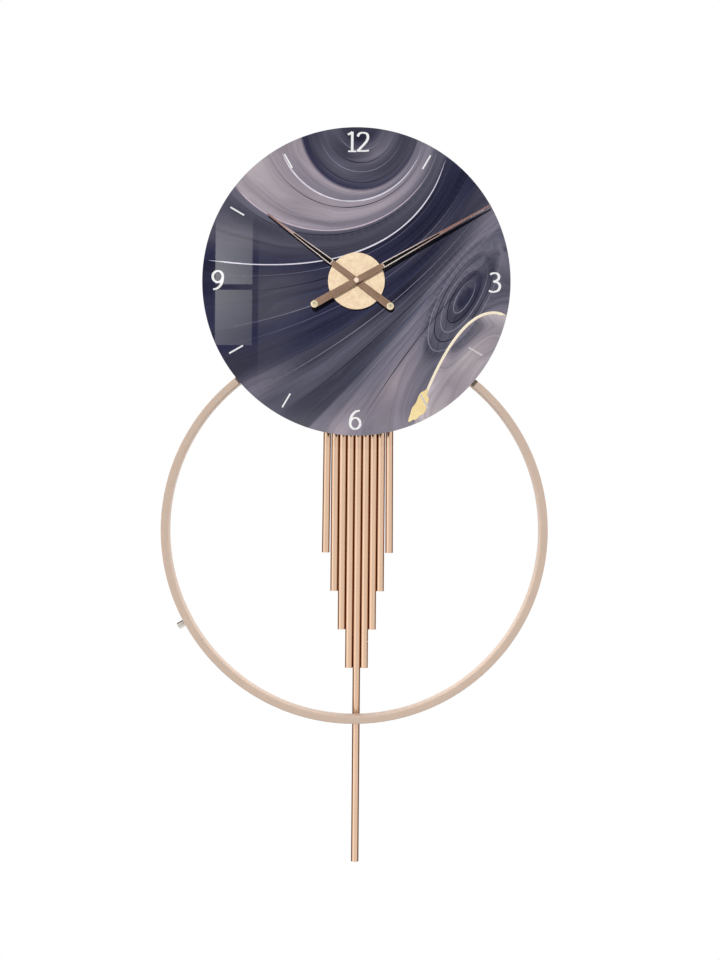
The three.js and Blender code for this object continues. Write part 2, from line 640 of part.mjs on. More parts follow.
const ARM_HALF_W = 4.5;
const ARM_HEAD_R = 7;
const armOutline = [
  ...arc(0, PIVOT_Z, ARM_HEAD_R, -50, 230, 14),
  [-ARM_HALF_W, HOOK_Z],
  ...arc(0, HOOK_Z, ARM_HALF_W, 180, 360, 8),
];
const MAGNET_R = 6;
const HOOK_R = 2; // the peg that the tubes' tongue hangs on, with a head that keeps it there
const HOOK_HEAD_R = 3;
const HOOK_HEAD_FRONT = -12.8;
const HOOK_REAR = -11.5;
const arm = plate(armOutline, ARM_FRONT, ARM_REAR)
  .subtract(rod(PIN_R + RUNNING_FIT, ARM_FRONT - 1, ARM_REAR + 1, 32).translate([0, 0, PIVOT_Z]))
  .add(rod(MAGNET_R + 1, ARM_FRONT, ARM_REAR, 32).translate([0, 0, COIL_Z]))
  .add(rod(HOOK_R, ARM_REAR - 0.5, HOOK_REAR, 16).translate([0, 0, HOOK_Z]))
  .add(rod(HOOK_HEAD_R, HOOK_HEAD_FRONT, HOOK_REAR, 16).translate([0, 0, HOOK_Z]));
add("pendulum_arm", arm, WHITE_PLASTIC, { into: pendulum });
add("drive_magnet", rod(MAGNET_R, ARM_FRONT - 3, ARM_FRONT - GAP, 32), STEEL,
  { z: COIL_Z, into: pendulum });

const TONGUE_FRONT = -15.4;
const TONGUE_REAR = -13.4;
const TONGUE_HALF_W = 6;
const TONGUE_HOLE_R = HOOK_HEAD_R + 0.4;
const HEADER_HALF_D = 6;
const headerHalfW = ((TUBE_COUNT - 1) / 2) * TUBE_PITCH + TUBE_R;
const SPIGOT_R = TUBE_R - TUBE_WALL - 0.25;
const SPIGOT_LENGTH = 10;
const tubeX = Array.from({ length: TUBE_COUNT }, (_, i) => (i - (TUBE_COUNT - 1) / 2) * TUBE_PITCH);
const spigot = turnedZ([
  [0, HEADER_Z - SPIGOT_LENGTH],
  [SPIGOT_R - 0.6, HEADER_Z - SPIGOT_LENGTH],
  [SPIGOT_R, HEADER_Z - SPIGOT_LENGTH + 1],
  [SPIGOT_R, HEADER_Z + 1],
  [0, HEADER_Z + 1],
], 12);
const tongueHole = rod(TONGUE_HOLE_R, TONGUE_FRONT - 1, TONGUE_REAR + 1, 32);
let header = block(
  [-headerHalfW, TUBE_Y - HEADER_HALF_D, HEADER_Z],
  [headerHalfW, TUBE_Y + HEADER_HALF_D, HEADER_Z + HEADER_T],
)
  .add(block(
    [-TONGUE_HALF_W, TONGUE_FRONT, HEADER_Z + 1],
    [TONGUE_HALF_W, TONGUE_REAR, HOOK_Z + 7],
  ))
  .subtract(tongueHole.translate([0, 0, HOOK_Z + HOOK_R - TONGUE_HOLE_R + 0.2]));
for (const x of tubeX) header = header.add(spigot.translate([x, TUBE_Y, 0]));
add("tube_header", header, CHAMPAGNE, { into: pendulum });

tubeX.forEach((x, i) => {
  const fromEdge = Math.min(i, TUBE_COUNT - 1 - i);
  const fromMiddle = i - (TUBE_COUNT - 1) / 2;
  const end = fromMiddle === 0 ? ROD_END : OUTER_TUBE_END - fromEdge * TUBE_STEP;
  const top = HEADER_Z - GAP;
  const inner = TUBE_R - TUBE_WALL;
  const length = top - end;
  const wall = [[inner, -length], [TUBE_R, -length], [TUBE_R, 0], [inner, 0], [inner, -length]];
  const turn = fromEdge === 0 ? -Math.sign(fromMiddle) * SPLAY : 0;
  const tube = turnedZ(wall, 18).translate([0, TUBE_Y, 0]);
  add(`tube_${i + 1}`, tube, CHAMPAGNE, { x, z: top, turn, into: pendulum });
});

// ---- The origin is on the hanger's wall face, below the keyhole ----
clock.position.z = -HANGER_Z;
const object = new THREE.Group();
object.add(clock);
export default object;
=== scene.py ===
"""Looks for the pendulum wall clock. Metres, +Z up, the wall at y = 0, the clock facing -Y."""

import math

import bmesh
import bpy
import numpy as np
from mathutils import Matrix, Vector


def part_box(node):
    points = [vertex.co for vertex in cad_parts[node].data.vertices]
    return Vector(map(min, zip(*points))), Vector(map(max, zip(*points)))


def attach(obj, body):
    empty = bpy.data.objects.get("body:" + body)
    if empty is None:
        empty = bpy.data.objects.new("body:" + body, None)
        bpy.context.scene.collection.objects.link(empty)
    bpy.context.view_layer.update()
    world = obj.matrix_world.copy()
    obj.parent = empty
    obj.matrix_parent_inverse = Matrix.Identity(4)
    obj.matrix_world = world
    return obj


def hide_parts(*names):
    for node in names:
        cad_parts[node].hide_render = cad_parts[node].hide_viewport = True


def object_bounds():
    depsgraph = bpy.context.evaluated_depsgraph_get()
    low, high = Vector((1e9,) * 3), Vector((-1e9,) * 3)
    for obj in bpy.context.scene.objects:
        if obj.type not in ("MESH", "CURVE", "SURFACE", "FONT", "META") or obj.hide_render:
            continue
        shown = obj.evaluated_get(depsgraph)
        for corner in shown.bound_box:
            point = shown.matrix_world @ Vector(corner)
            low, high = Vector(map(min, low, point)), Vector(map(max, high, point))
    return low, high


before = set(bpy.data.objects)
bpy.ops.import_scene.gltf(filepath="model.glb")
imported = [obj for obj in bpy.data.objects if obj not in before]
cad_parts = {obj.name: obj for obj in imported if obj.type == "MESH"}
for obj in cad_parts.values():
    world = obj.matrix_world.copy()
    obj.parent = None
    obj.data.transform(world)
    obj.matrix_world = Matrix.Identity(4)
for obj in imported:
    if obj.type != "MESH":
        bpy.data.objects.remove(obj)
CAD_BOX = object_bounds()
MM = 0.001

# ---- Places and sizes, from the frame where it has them ----


def middle(node):
    low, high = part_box(node)
    return (low + high) / 2


def size(node):
    low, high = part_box(node)
    return high - low


GLASS_LOW, GLASS_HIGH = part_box("dial_glass")
CENTRE = middle("dial_glass")
DIAL_R = size("dial_glass").x / 2
GLASS_Y = GLASS_LOW.y  # the glass's front face
RING_CENTRE = middle("ring_frame")
RING_R = size("ring_frame").x / 2
AXIS = Vector((0.0, CENTRE.y, CENTRE.z))  # a point on the hands' axis
FRAME = "clock_frame"
MINUTE = "minute_works"
HOUR = "hour_works"
PENDULUM = "pendulum"
MINUTE_ANGLE = 60.2  # degrees clockwise from the top
HOUR_ANGLE = 306.5
SMOOTH_ANGLE = math.radians(35)  # faces that meet at less are shaded as one


# ---- Meshes ----


def piece(name, mesh, body, material, replaces=()):
    """A finished piece: an object for a mesh, riding on a body and standing for CAD nodes."""
    obj = bpy.data.objects.new(name, mesh)
    bpy.context.scene.collection.objects.link(obj)
    mesh.materials.append(material)
    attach(obj, body)
    if replaces:
        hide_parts(*replaces)
    return obj


def written(shape, mesh):
    """A mesh filled from a bmesh, with its edges smooth or sharp by SMOOTH_ANGLE."""
    for face in shape.faces:
        face.smooth = True
    for edge in shape.edges:
        if len(edge.link_faces) == 2:
            edge.smooth = edge.calc_face_angle(0.0) < SMOOTH_ANGLE
    shape.to_mesh(mesh)
    shape.free()
    return mesh


def mesh_of(name, vertices, faces):
    """A mesh with outward faces."""
    mesh = bpy.data.meshes.new(name)
    mesh.from_pydata([tuple(v) for v in vertices], [], faces)
    shape = bmesh.new()
    shape.from_mesh(mesh)
    bmesh.ops.remove_doubles(shape, verts=shape.verts, dist=1e-7)
    bmesh.ops.recalc_face_normals(shape, faces=shape.faces)
    return written(shape, mesh)


def place(mesh, matrix):
    mesh.transform(matrix)
    return mesh


def lathe(name, profile, segments=96, axis="Y"):
    """A solid of revolution. profile is [(radius, place along the axis)], and closes on itself if it
    doesn't start and end on the axis."""
    on_axis = profile[0][0] < 1e-9 and profile[-1][0] < 1e-9
    vertices, faces = [], []
    for i in range(segments):
        a = 2 * math.pi * i / segments
        for r, y in profile:
            point = (r * math.sin(a), y, r * math.cos(a))
            vertices.append(point if axis == "Y" else (point[0], point[2], point[1]))
    count = len(profile)
    last = count - 1 if on_axis else count
    for i in range(segments):
        j = (i + 1) % segments
        for k in range(last):
            m = (k + 1) % count
            quad = [i * count + k, i * count + m, j * count + m, j * count + k]
            if profile[k][0] < 1e-9:
                quad.pop(3)
            elif profile[m][0] < 1e-9:
                quad.pop(2)
            faces.append(quad)
    return mesh_of(name, vertices, faces)


def rounded(corners, radius, steps=4, closed=False):
    """A profile with its inner corners rounded. Corners is a list of (r, y); radius is a number, or a
    list with one for each corner."""
    count = len(corners)
    radii = radius if isinstance(radius, (list, tuple)) else [radius] * count
    points = []
    for i, corner in enumerate(corners):
        if not closed and i in (0, count - 1) or radii[i] <= 0:
            points.append(tuple(corner))
            continue
        here = Vector(corner)
        before = (Vector(corners[i - 1]) - here).normalized()
        after = (Vector(corners[(i + 1) % count]) - here).normalized()
        turn = math.pi - before.angle(after)
        cut = radii[i] * math.tan(turn / 2)
        start, end = here + before * cut, here + after * cut
        bisector = (before + after).normalized()
        hub = here + bisector * (radii[i] / math.cos(turn / 2))
        a, b = start - hub, end - hub
        for s in range(steps + 1):
            t = s / steps
            mix = a.lerp(b, t)
            points.append(tuple(hub + mix.normalized() * radii[i]))
    return points


def prism(name, outline, front, rear, bevel=0.0, holes=(), bevel_steps=2):
    """A plate in the dial's plane: an XZ outline with holes, from y = front to y = rear. bevel is the
    width cut from its front edges."""
    shape = bmesh.new()
    loops = []
    for loop in [outline, *holes]:
        verts = [shape.verts.new((x, front, z)) for x, z in loop]
        loops.append([shape.edges.new((verts[i - 1], verts[i])) for i in range(len(verts))])
    edges = [e for loop in loops for e in loop]
    bmesh.ops.triangle_fill(shape, use_beauty=True, use_dissolve=False, edges=edges)
    bmesh.ops.dissolve_limit(
        shape, angle_limit=0.01, verts=shape.verts, edges=[e for e in shape.edges if e not in edges]
    )
    faces = list(shape.faces)
    result = bmesh.ops.extrude_face_region(shape, geom=faces)
    moved = [v for v in result["geom"] if isinstance(v, bmesh.types.BMVert)]
    bmesh.ops.translate(shape, verts=moved, vec=(0, rear - front, 0))
    bmesh.ops.recalc_face_normals(shape, faces=shape.faces)
    if bevel > 0:
        rims = [
            e
            for e in shape.edges
            if len(e.link_faces) == 2
            and all(abs(v.co.y - front) < 1e-7 for v in e.verts)
            and e.calc_face_angle(0.0) > 1.0
        ]
        bmesh.ops.bevel(
            shape,
            geom=rims,
            offset=bevel,
            segments=bevel_steps,
            profile=0.5,
            affect="EDGES",
            clamp_overlap=True,
        )
    return written(shape, bpy.data.meshes.new(name))


def arc(x, z, r, start, end, steps):
    """Points on an arc, between two angles in degrees anticlockwise from +X."""
    angles = np.radians(np.linspace(start, end, steps + 1))
    return [(x + r * math.cos(a), z + r * math.sin(a)) for a in angles]


def spline(points, per_span=12):
    """A smooth Catmull-Rom line through points, as an array of (x, z)."""
    p = np.array(points, float)
    p = np.vstack([2 * p[0] - p[1], p, 2 * p[-1] - p[-2]])
    t = np.linspace(0, 1, per_span, endpoint=False)[:, None]
    spans = []
    for a, b, c, d in zip(p[:-3], p[1:-2], p[2:-1], p[3:]):
        spans.append(
            0.5
            * (2 * b + (c - a) * t + (2 * a - 5 * b + 4 * c - d) * t**2 + (3 * b - a - 3 * c + d) * t**3)
        )
    return np.vstack([*spans, p[-2:-1]])


def ribbon(name, line, width, y, thickness=0.00015, taper=(0.0, 0.0)):
    """A thin flat band along a line in the dial's plane. width is a number, one for each point or a
    function of the share of the points; taper is the share over which each end narrows."""
    line = np.array(line, float)
    step = np.gradient(line, axis=0)
    step /= np.maximum(np.linalg.norm(step, axis=1, keepdims=True), 1e-12)
    side = np.stack([-step[:, 1], step[:, 0]], axis=1)
    share = np.linspace(0, 1, len(line))
    wide = np.array([width(s) for s in share]) if callable(width) else np.zeros(len(line)) + width
    for end, s in ((taper[0], share), (taper[1], 1 - share)):
        if end > 0:
            wide = wide * np.clip(s / end, 0.08, 1)
    left = line + side * wide[:, None] / 2
    right = line - side * wide[:, None] / 2
    vertices, faces = [], []
    for depth in (y, y + thickness):
        vertices += [(x, depth, z) for x, z in left] + [(x, depth, z) for x, z in right]
    n = len(line)
    for i in range(n - 1):
        faces.append([i, i + 1, n + i + 1, n + i])
        faces.append([2 * n + i, 2 * n + i + 1, 3 * n + i + 1, 3 * n + i])
        faces.append([i, i + 1, 2 * n + i + 1, 2 * n + i])
        faces.append([n + i, n + i + 1, 3 * n + i + 1, 3 * n + i])
    faces.append([0, n, 3 * n, 2 * n])
    faces.append([n - 1, 2 * n - 1, 4 * n - 1, 3 * n - 1])
    return mesh_of(name, vertices, faces)


def joined(name, meshes):
    """One mesh holding several."""
    shape = bmesh.new()
    for mesh in meshes:
        shape.from_mesh(mesh)
        bpy.data.meshes.remove(mesh)
    mesh = bpy.data.meshes.new(name)
    shape.to_mesh(mesh)
    shape.free()
    return mesh


# ---- Materials ----


def srgb(r, g, b):
    """A colour given as 0 to 255 sRGB, as linear values."""
    return tuple(
        c / 12.92 if c <= 0.04045 else ((c + 0.055) / 1.055) ** 2.4
        for c in (r / 255, g / 255, b / 255)
    )


def new_material(name):
    material = bpy.data.materials.new(name)
    material.use_nodes = True
    tree = material.node_tree
    tree.nodes.clear()
    output = tree.nodes.new("ShaderNodeOutputMaterial")
    shader = tree.nodes.new("ShaderNodeBsdfPrincipled")
    tree.links.new(shader.outputs[0], output.inputs["Surface"])
    return material, tree, shader


def math_node(tree, operation, a, b=None, clamp=False):
    node = tree.nodes.new("ShaderNodeMath")
    node.operation = operation
    node.use_clamp = clamp
    for socket, value in zip(node.inputs, (a, b)):
        if value is None:
            continue
        if isinstance(value, (int, float)):
            socket.default_value = value
        else:
            tree.links.new(value, socket)
    return node.outputs[0]


def blend(tree, a, a_share, b, b_share):
    """The sum of a share of one value and a share of another."""
    return math_node(
        tree, "ADD", math_node(tree, "MULTIPLY", a, a_share), math_node(tree, "MULTIPLY", b, b_share)
    )


def noise(tree, vector, scale, detail=3.0, roughness=0.55):
    node = tree.nodes.new("ShaderNodeTexNoise")
    node.inputs["Scale"].default_value = scale
    node.inputs["Detail"].default_value = detail
    node.inputs["Roughness"].default_value = roughness
    tree.links.new(vector, node.inputs["Vector"])
    return node.outputs["Fac"]


def stretched(tree, scale):
    """Object coordinates, scaled differently along each axis."""
    coordinates = tree.nodes.new("ShaderNodeTexCoord")
    mapping = tree.nodes.new("ShaderNodeMapping")
    mapping.inputs["Scale"].default_value = scale
    tree.links.new(coordinates.outputs["Object"], mapping.inputs["Vector"])
    return mapping.outputs[0]


def ramp(tree, fac, stops):
    node = tree.nodes.new("ShaderNodeValToRGB")
    elements = node.color_ramp.elements
    while len(elements) < len(stops):
        elements.new(0.5)
    for element, (position, colour) in zip(elements, stops):
        element.position = position
        element.color = (*colour, 1)
    tree.links.new(fac, node.inputs[0])
    return node.outputs[0]


def spread(tree, fac, low, high):
    node = tree.nodes.new("ShaderNodeMapRange")
    node.inputs["From Min"].default_value = 0.3
    node.inputs["From Max"].default_value = 0.7
    node.inputs["To Min"].default_value = low
    node.inputs["To Max"].default_value = high
    tree.links.new(fac, node.inputs[0])
    return node.outputs[0]


def bump(tree, height, distance, strength=0.4):
    node = tree.nodes.new("ShaderNodeBump")
    node.inputs["Strength"].default_value = strength
    node.inputs["Distance"].default_value = distance
    tree.links.new(height, node.inputs["Height"])
    return node.outputs[0]


def grained(
    name,
    colour,
    metallic,
    roughness,
    grain=(900, 900, 900),
    shade=0.12,
    rough_range=0.08,
    bump_mm=0.02,
    **uniform,
):
    """A finish whose colour, roughness and surface vary with a grain. grain scales the noise along X, Y and
    Z, in repeats per metre; shade is how far the colour varies."""
    material, tree, shader = new_material(name)
    fac = noise(tree, stretched(tree, grain), 1.0)
    blotch = noise(tree, stretched(tree, (14, 14, 14)), 1.0, detail=2)
    both = blend(tree, fac, 0.7, blotch, 0.3)
    dark = tuple(c * (1 - shade) for c in colour)
    light = tuple(min(1, c * (1 + shade)) for c in colour)
    tree.links.new(ramp(tree, both, [(0.3, dark), (0.7, light)]), shader.inputs["Base Color"])
    tree.links.new(
        spread(tree, both, roughness - rough_range, roughness + rough_range),
        shader.inputs["Roughness"],
    )
    if bump_mm:
        tree.links.new(bump(tree, fac, bump_mm * MM), shader.inputs["Normal"])
    shader.inputs["Metallic"].default_value = metallic
    for socket, value in uniform.items():
        shader.inputs[socket.replace("_", " ")].default_value = value
    return material


def tinted(material, second, make_factor):
    """Mixes a second colour into a finish. make_factor makes its share, 0 to 1, in the node tree."""
    tree = material.node_tree
    shader = next(n for n in tree.nodes if n.type == "BSDF_PRINCIPLED")
    first = shader.inputs["Base Color"].links[0].from_socket
    mix = tree.nodes.new("ShaderNodeMix")
    mix.data_type = "RGBA"
    tree.links.new(make_factor(tree), mix.inputs["Factor"])
    tree.links.new(first, mix.inputs[6])
    mix.inputs[7].default_value = (*second, 1)
    tree.links.new(mix.outputs[2], shader.inputs["Base Color"])


def painted_groove_shade(tree):
    """A mesh's attribute for the painted shade between the tubes, 0 to 1."""
    node = tree.nodes.new("ShaderNodeAttribute")
    node.attribute_name = "painted_groove_shade"
    return node.outputs["Fac"]


def outward(tree):
    """0 near the hands' axis, 1 towards the hands' points."""
    coordinates = tree.nodes.new("ShaderNodeTexCoord")
    distance = tree.nodes.new("ShaderNodeVectorMath")
    distance.operation = "DISTANCE"
    tree.links.new(coordinates.outputs["Object"], distance.inputs[0])
    distance.inputs[1].default_value = (0, GLASS_Y, CENTRE.z)
    node = tree.nodes.new("ShaderNodeMapRange")
    node.inputs["From Min"].default_value = 0.06
    node.inputs["From Max"].default_value = 0.13
    tree.links.new(distance.outputs["Value"], node.inputs[0])
    return node.outputs[0]


GLOSS = {"Coat_Weight": 1.0, "Coat_Roughness": 0.012, "Specular_IOR_Level": 0.0}

RING_METAL = grained(
    "ring_champagne", srgb(200, 178, 162), 0.12, 0.45, grain=(60, 60, 60), shade=0.03, rough_range=0.04,
    bump_mm=0.0
)
TUBE_METAL = grained(
    "tube_champagne", srgb(216, 184, 158), 0.94, 0.1, grain=(240, 240, 4), shade=0.05, rough_range=0.006,
    bump_mm=0.0
)
# Painted shade: the tubes' grooves and the long tube's sides are darkened towards this brown.
tinted(TUBE_METAL, srgb(158, 96, 62), painted_groove_shade)
HUB_METAL = grained(
    "hub_gold", srgb(255, 222, 188), 0.35, 0.38, grain=(200, 200, 200), shade=0.12, bump_mm=0.01
)
BRONZE = grained(
    "hand_bronze", srgb(148, 119, 100), 0.6, 0.38, grain=(1200, 1200, 120), shade=0.08, bump_mm=0.006
)
RAIL_METAL = grained(
    "hand_rail", srgb(252, 236, 228), 0.5, 0.28, grain=(1200, 1200, 120), shade=0.06, bump_mm=0.004
)
tinted(RAIL_METAL, srgb(162, 126, 118), outward)
DOME_METAL = grained(
    "dome_champagne", srgb(222, 208, 176), 1.0, 0.3, grain=(500, 500, 500), shade=0.05, bump_mm=0.003
)
CAP_METAL = grained(
    "cap_champagne", srgb(246, 224, 204), 0.4, 0.4, grain=(500, 500, 500), shade=0.05, bump_mm=0.003
)
# Painted shadow: near-black for the sheets in the hands' slots.
SLOT_SHADOW = grained(
    "hand_slot_shadow", srgb(8, 7, 8), 0.0, 0.6, grain=(500, 500, 500), shade=0.2, Specular_IOR_Level=0.1
)
STUD_METAL = grained(
    "stud_steel", srgb(190, 184, 178), 1.0, 0.25, grain=(1500, 1500, 90), shade=0.06, bump_mm=0.004
)
STEEL = grained("zinc_steel", srgb(178, 178, 180), 1.0, 0.34, grain=(260, 260, 260), shade=0.12)
BRASS = grained("gear_brass", srgb(214, 180, 110), 1.0, 0.3, grain=(800, 800, 800), shade=0.08)
COPPER = grained("copper_wire", srgb(190, 110, 66), 0.9, 0.35, grain=(200, 6000, 200), shade=0.2)
BLACK = grained("black_plastic", srgb(34, 34, 37), 0.0, 0.48, grain=(1600, 1600, 1600), shade=0.2)
WHITE = grained("white_plastic", srgb(226, 224, 216), 0.0, 0.42, grain=(1200, 1200, 1200), shade=0.04)
RUBBER = grained("rubber", srgb(38, 38, 38), 0.0, 0.75, grain=(2500, 2500, 2500), shade=0.25)
CIRCUIT = grained("circuit_green", srgb(44, 104, 66), 0.0, 0.4, grain=(300, 300, 300), shade=0.15)
JACKET = grained("cell_jacket", srgb(96, 104, 112), 0.3, 0.35, grain=(300, 300, 300), shade=0.08)
BOARD = grained(
    "fibreboard", srgb(74, 62, 54), 0.0, 0.72, grain=(420, 900, 420), shade=0.28, bump_mm=0.05
)
GLASS_EDGE = grained(
    "glass_edge", srgb(120, 140, 138), 0.0, 0.12, grain=(300, 300, 300), shade=0.12, **GLOSS
)
VEIN_COLOURS = {
    "white": (222, 218, 230), "pink": (196, 178, 190), "grey": (132, 132, 150), "mist": (98, 100, 122),
    "blue": (58, 68, 100), "dark": (40, 40, 56), "night": (24, 26, 44),
}
VEINS = {
    key: grained("vein_" + key, srgb(*colour), 0.0, 0.4, grain=(120, 120, 120), shade=0.12, **GLOSS)
    for key, colour in VEIN_COLOURS.items()
}
CREAM = grained("line_cream", srgb(250, 236, 210), 0.0, 0.4, grain=(160, 160, 160), shade=0.06, **GLOSS)
FOIL = grained(
    "gold_foil", srgb(250, 221, 164), 0.0, 0.4, grain=(500, 500, 500), shade=0.14, bump_mm=0.05, **GLOSS
)
DIGIT = grained("digit_white", srgb(240, 240, 240), 0.0, 0.4, grain=(200, 200, 200), shade=0.03, **GLOSS)
FAINT = grained("tick_grey", srgb(206, 200, 202), 0.0, 0.4, grain=(200, 200, 200), shade=0.03, **GLOSS)


# ---- The dial's picture ----
# A generic marbling. Places are in dial units: the centre is (0, 0) and the rim is at 1. The marbling runs
# along three families of lines: bowls that sag from the top, sweeps that fan out to the right, and nested
# eyes. Between lines, tones and levels blend smoothly.

PRINT_TURN = math.radians(0.5)  # the whole picture sits turned anticlockwise by this
TONES = {
    "ink": (35, 35, 55), "navy": (45, 45, 70), "slate": (65, 65, 80), "ash": (90, 90, 105),
    "mauve": (120, 115, 130), "rose": (155, 145, 155), "pale": (190, 180, 185),
}


def bezier(start, bend, end, steps=8):
    t = np.linspace(0, 1, steps + 1)[:, None]
    return (1 - t) ** 2 * np.array(start) + 2 * t * (1 - t) * np.array(bend) + t**2 * np.array(end)


def bowl(depth):
    """A line that sags by depth from just above the dial's top, wider and further left as it deepens."""
    angles = np.radians(np.linspace(192, 348, 10))
    extra = max(0, depth - 0.45)
    wide = 0.85 * depth + 0.5 * extra
    return np.stack([0.03 - 0.8 * extra + wide * np.cos(angles), 1.05 + depth * np.sin(angles)], axis=1)


def sweep(share):
    """A line from the left or lower rim to the right one: share is 0 for the highest, 1 for the lowest."""
    start, end = math.radians(172 + 108 * share), math.radians(54 - 44 * share)
    bend = (0.34 + 0.02 * share, -0.04 - 0.31 * share)
    return bezier((math.cos(start), math.sin(start)), bend, (math.cos(end), math.sin(end)))


def slanted(along, across, angle, centre):
    """Points given along and across an axis that leans at an angle, in degrees, through a centre."""
    slant = math.radians(angle)
    return np.stack([centre[0] + along * math.cos(slant) - across * math.sin(slant),
                     centre[1] + along * math.sin(slant) + across * math.cos(slant)], axis=1)


def eye(length):
    """A slanting oval on the right."""
    angles = np.linspace(0, 2 * math.pi, 13)
    return slanted(length * np.cos(angles), 0.36 * length * np.sin(angles), 60, (0.7, -0.1))


CREAM_LINE = bezier((0.4, -0.86), (0.68, -0.1), (0.97, -0.22))
# Each line, with its tones on the left and right side (looking along it) from its start to its end
FLOW_LINES = [
    (bowl(0.12), "slate ink slate", None),
    (bowl(0.24), "ash slate mauve ash", None),
    (bowl(0.36), "slate ash slate slate", None),
    (bowl(0.46), "navy navy slate", "rose rose mauve"),
    (bowl(0.53), "rose mauve mauve", "rose rose mauve"),
    (bowl(0.63), "pale rose rose mauve", None),
    (bowl(0.72), "pale rose mauve ash", "mauve ash ash ash"),
    (bowl(0.77), "ash slate slate ash", None),
    (sweep(0), "navy navy slate slate slate", "ink navy ink ink navy"),
    (sweep(0.1), "navy slate navy ink navy", None),
    (sweep(0.2), "navy slate navy ink ink", None),
    (sweep(0.3), "navy navy navy slate navy", None),
    (sweep(0.4), "slate navy navy ink slate", None),
    (sweep(0.5), "mauve slate slate ink slate slate", None),
    (sweep(0.58), "ash ash ash slate slate mauve", None),
    (sweep(0.66), "slate slate slate ash mauve mauve", None),
    (sweep(0.74), "slate slate ash mauve mauve", "mauve ash mauve mauve ash"),
    (sweep(0.84), "rose mauve mauve mauve ash", None),
    (sweep(0.94), "mauve rose mauve ash slate", None),
    (eye(0.42), "ash slate ash mauve", None),
    (eye(0.3), "slate ash slate", None),
    (eye(0.17), "navy slate navy", None),
    (eye(0.06), "ink navy", None),
    (CREAM_LINE, "mauve ash mauve", "pale rose pale"),
    (bezier((0.5, -0.86), (0.72, -0.42), (0.92, -0.38)), "pale rose pale rose", None),
]
LEVEL_STEP = 0.5  # between one line's streaks and the next one's


def line_samples():
    """Where each flow line runs: places, directions, lengths, levels and the two sides' colours."""
    rows = {"at": [], "along": [], "length": [], "level": [], "left": [], "right": []}
    for i, (points, left, right) in enumerate(FLOW_LINES):
        line = spline(points, 5)
        centres = (line[1:] + line[:-1]) / 2
        steps = line[1:] - line[:-1]
        lengths = np.linalg.norm(steps, axis=1)
        share = (np.cumsum(lengths) - lengths / 2) / lengths.sum()
        rows["at"].append(centres)
        rows["along"].append(steps / lengths[:, None])
        rows["length"].append(lengths)
        rows["level"].append(np.full(len(lengths), LEVEL_STEP * i))
        for side, tones in (("left", left), ("right", right or left)):
            table = np.array([srgb(*TONES[tone]) for tone in tones.split()])
            stops = np.linspace(0, 1, len(table))
            rows[side].append(np.stack([np.interp(share, stops, table[:, k]) for k in range(3)], axis=1))
    return {key: np.concatenate(value) for key, value in rows.items()}


def painted(places):
    """The picture at each place: its colour and its level."""
    lines = line_samples()
    colours = np.zeros((len(places), 3))
    levels = np.zeros(len(places))
    blur = 0.012
    batch = 4000  # places worked on at a time
    for start in range(0, len(places), batch):
        part = slice(start, start + batch)
        p = places[part]
        gap = p[:, None, :] - lines["at"][None]
        distance = (gap**2).sum(2) + blur**2
        weight = lines["length"] / distance**1.6
        soft_weight = lines["length"] / (distance + 0.002) ** 2
        cross = lines["along"][None, :, 0] * gap[:, :, 1] - lines["along"][None, :, 1] * gap[:, :, 0]
        on_left = np.clip(0.5 + cross / 0.016, 0, 1)[:, :, None]
        mix = on_left * lines["left"][None] + (1 - on_left) * lines["right"][None]
        colours[part] = (weight[:, :, None] * mix).sum(1) / weight.sum(1)[:, None]
        levels[part] = (soft_weight * lines["level"]).sum(1) / soft_weight.sum(1)
    return colours, levels


def print_mesh():
    """The dial's printed face: a fine square grid squeezed onto a disc, with the picture's values at its
    corners."""
    cells = 220
    axis = np.linspace(-1, 1, cells + 1)
    u, v = np.meshgrid(axis, axis)
    u, v = u.ravel(), v.ravel()
    # The square's edge becomes the rim.
    x = u * np.sqrt(1 - v**2 / 2)
    z = v * np.sqrt(1 - u**2 / 2)
    row = cells + 1
    corners = [j * row + i for j in range(cells) for i in range(cells)]
    faces = [[k, k + 1, k + row + 1, k + row] for k in corners]
    face_y = GLASS_Y + 0.0001
    vertices = [(DIAL_R * a, face_y, CENTRE.z + DIAL_R * b) for a, b in zip(x, z)]
    mesh = bpy.data.meshes.new("dial_picture")
    mesh.from_pydata(vertices, [], faces)
    for polygon in mesh.polygons:
        polygon.use_smooth = True
    if mesh.polygons[0].normal.y > 0:
        mesh.flip_normals()
    c, s = math.cos(PRINT_TURN), math.sin(PRINT_TURN)
    colours, levels = painted(np.stack([x * c + z * s, z * c - x * s], axis=1))
    attribute = mesh.attributes.new("picture", "FLOAT_COLOR", "POINT")
    attribute.data.foreach_set("color", np.column_stack([colours, np.ones(len(x))]).ravel())
    attribute = mesh.attributes.new("level", "FLOAT", "POINT")
    attribute.data.foreach_set("value", levels)
    return mesh


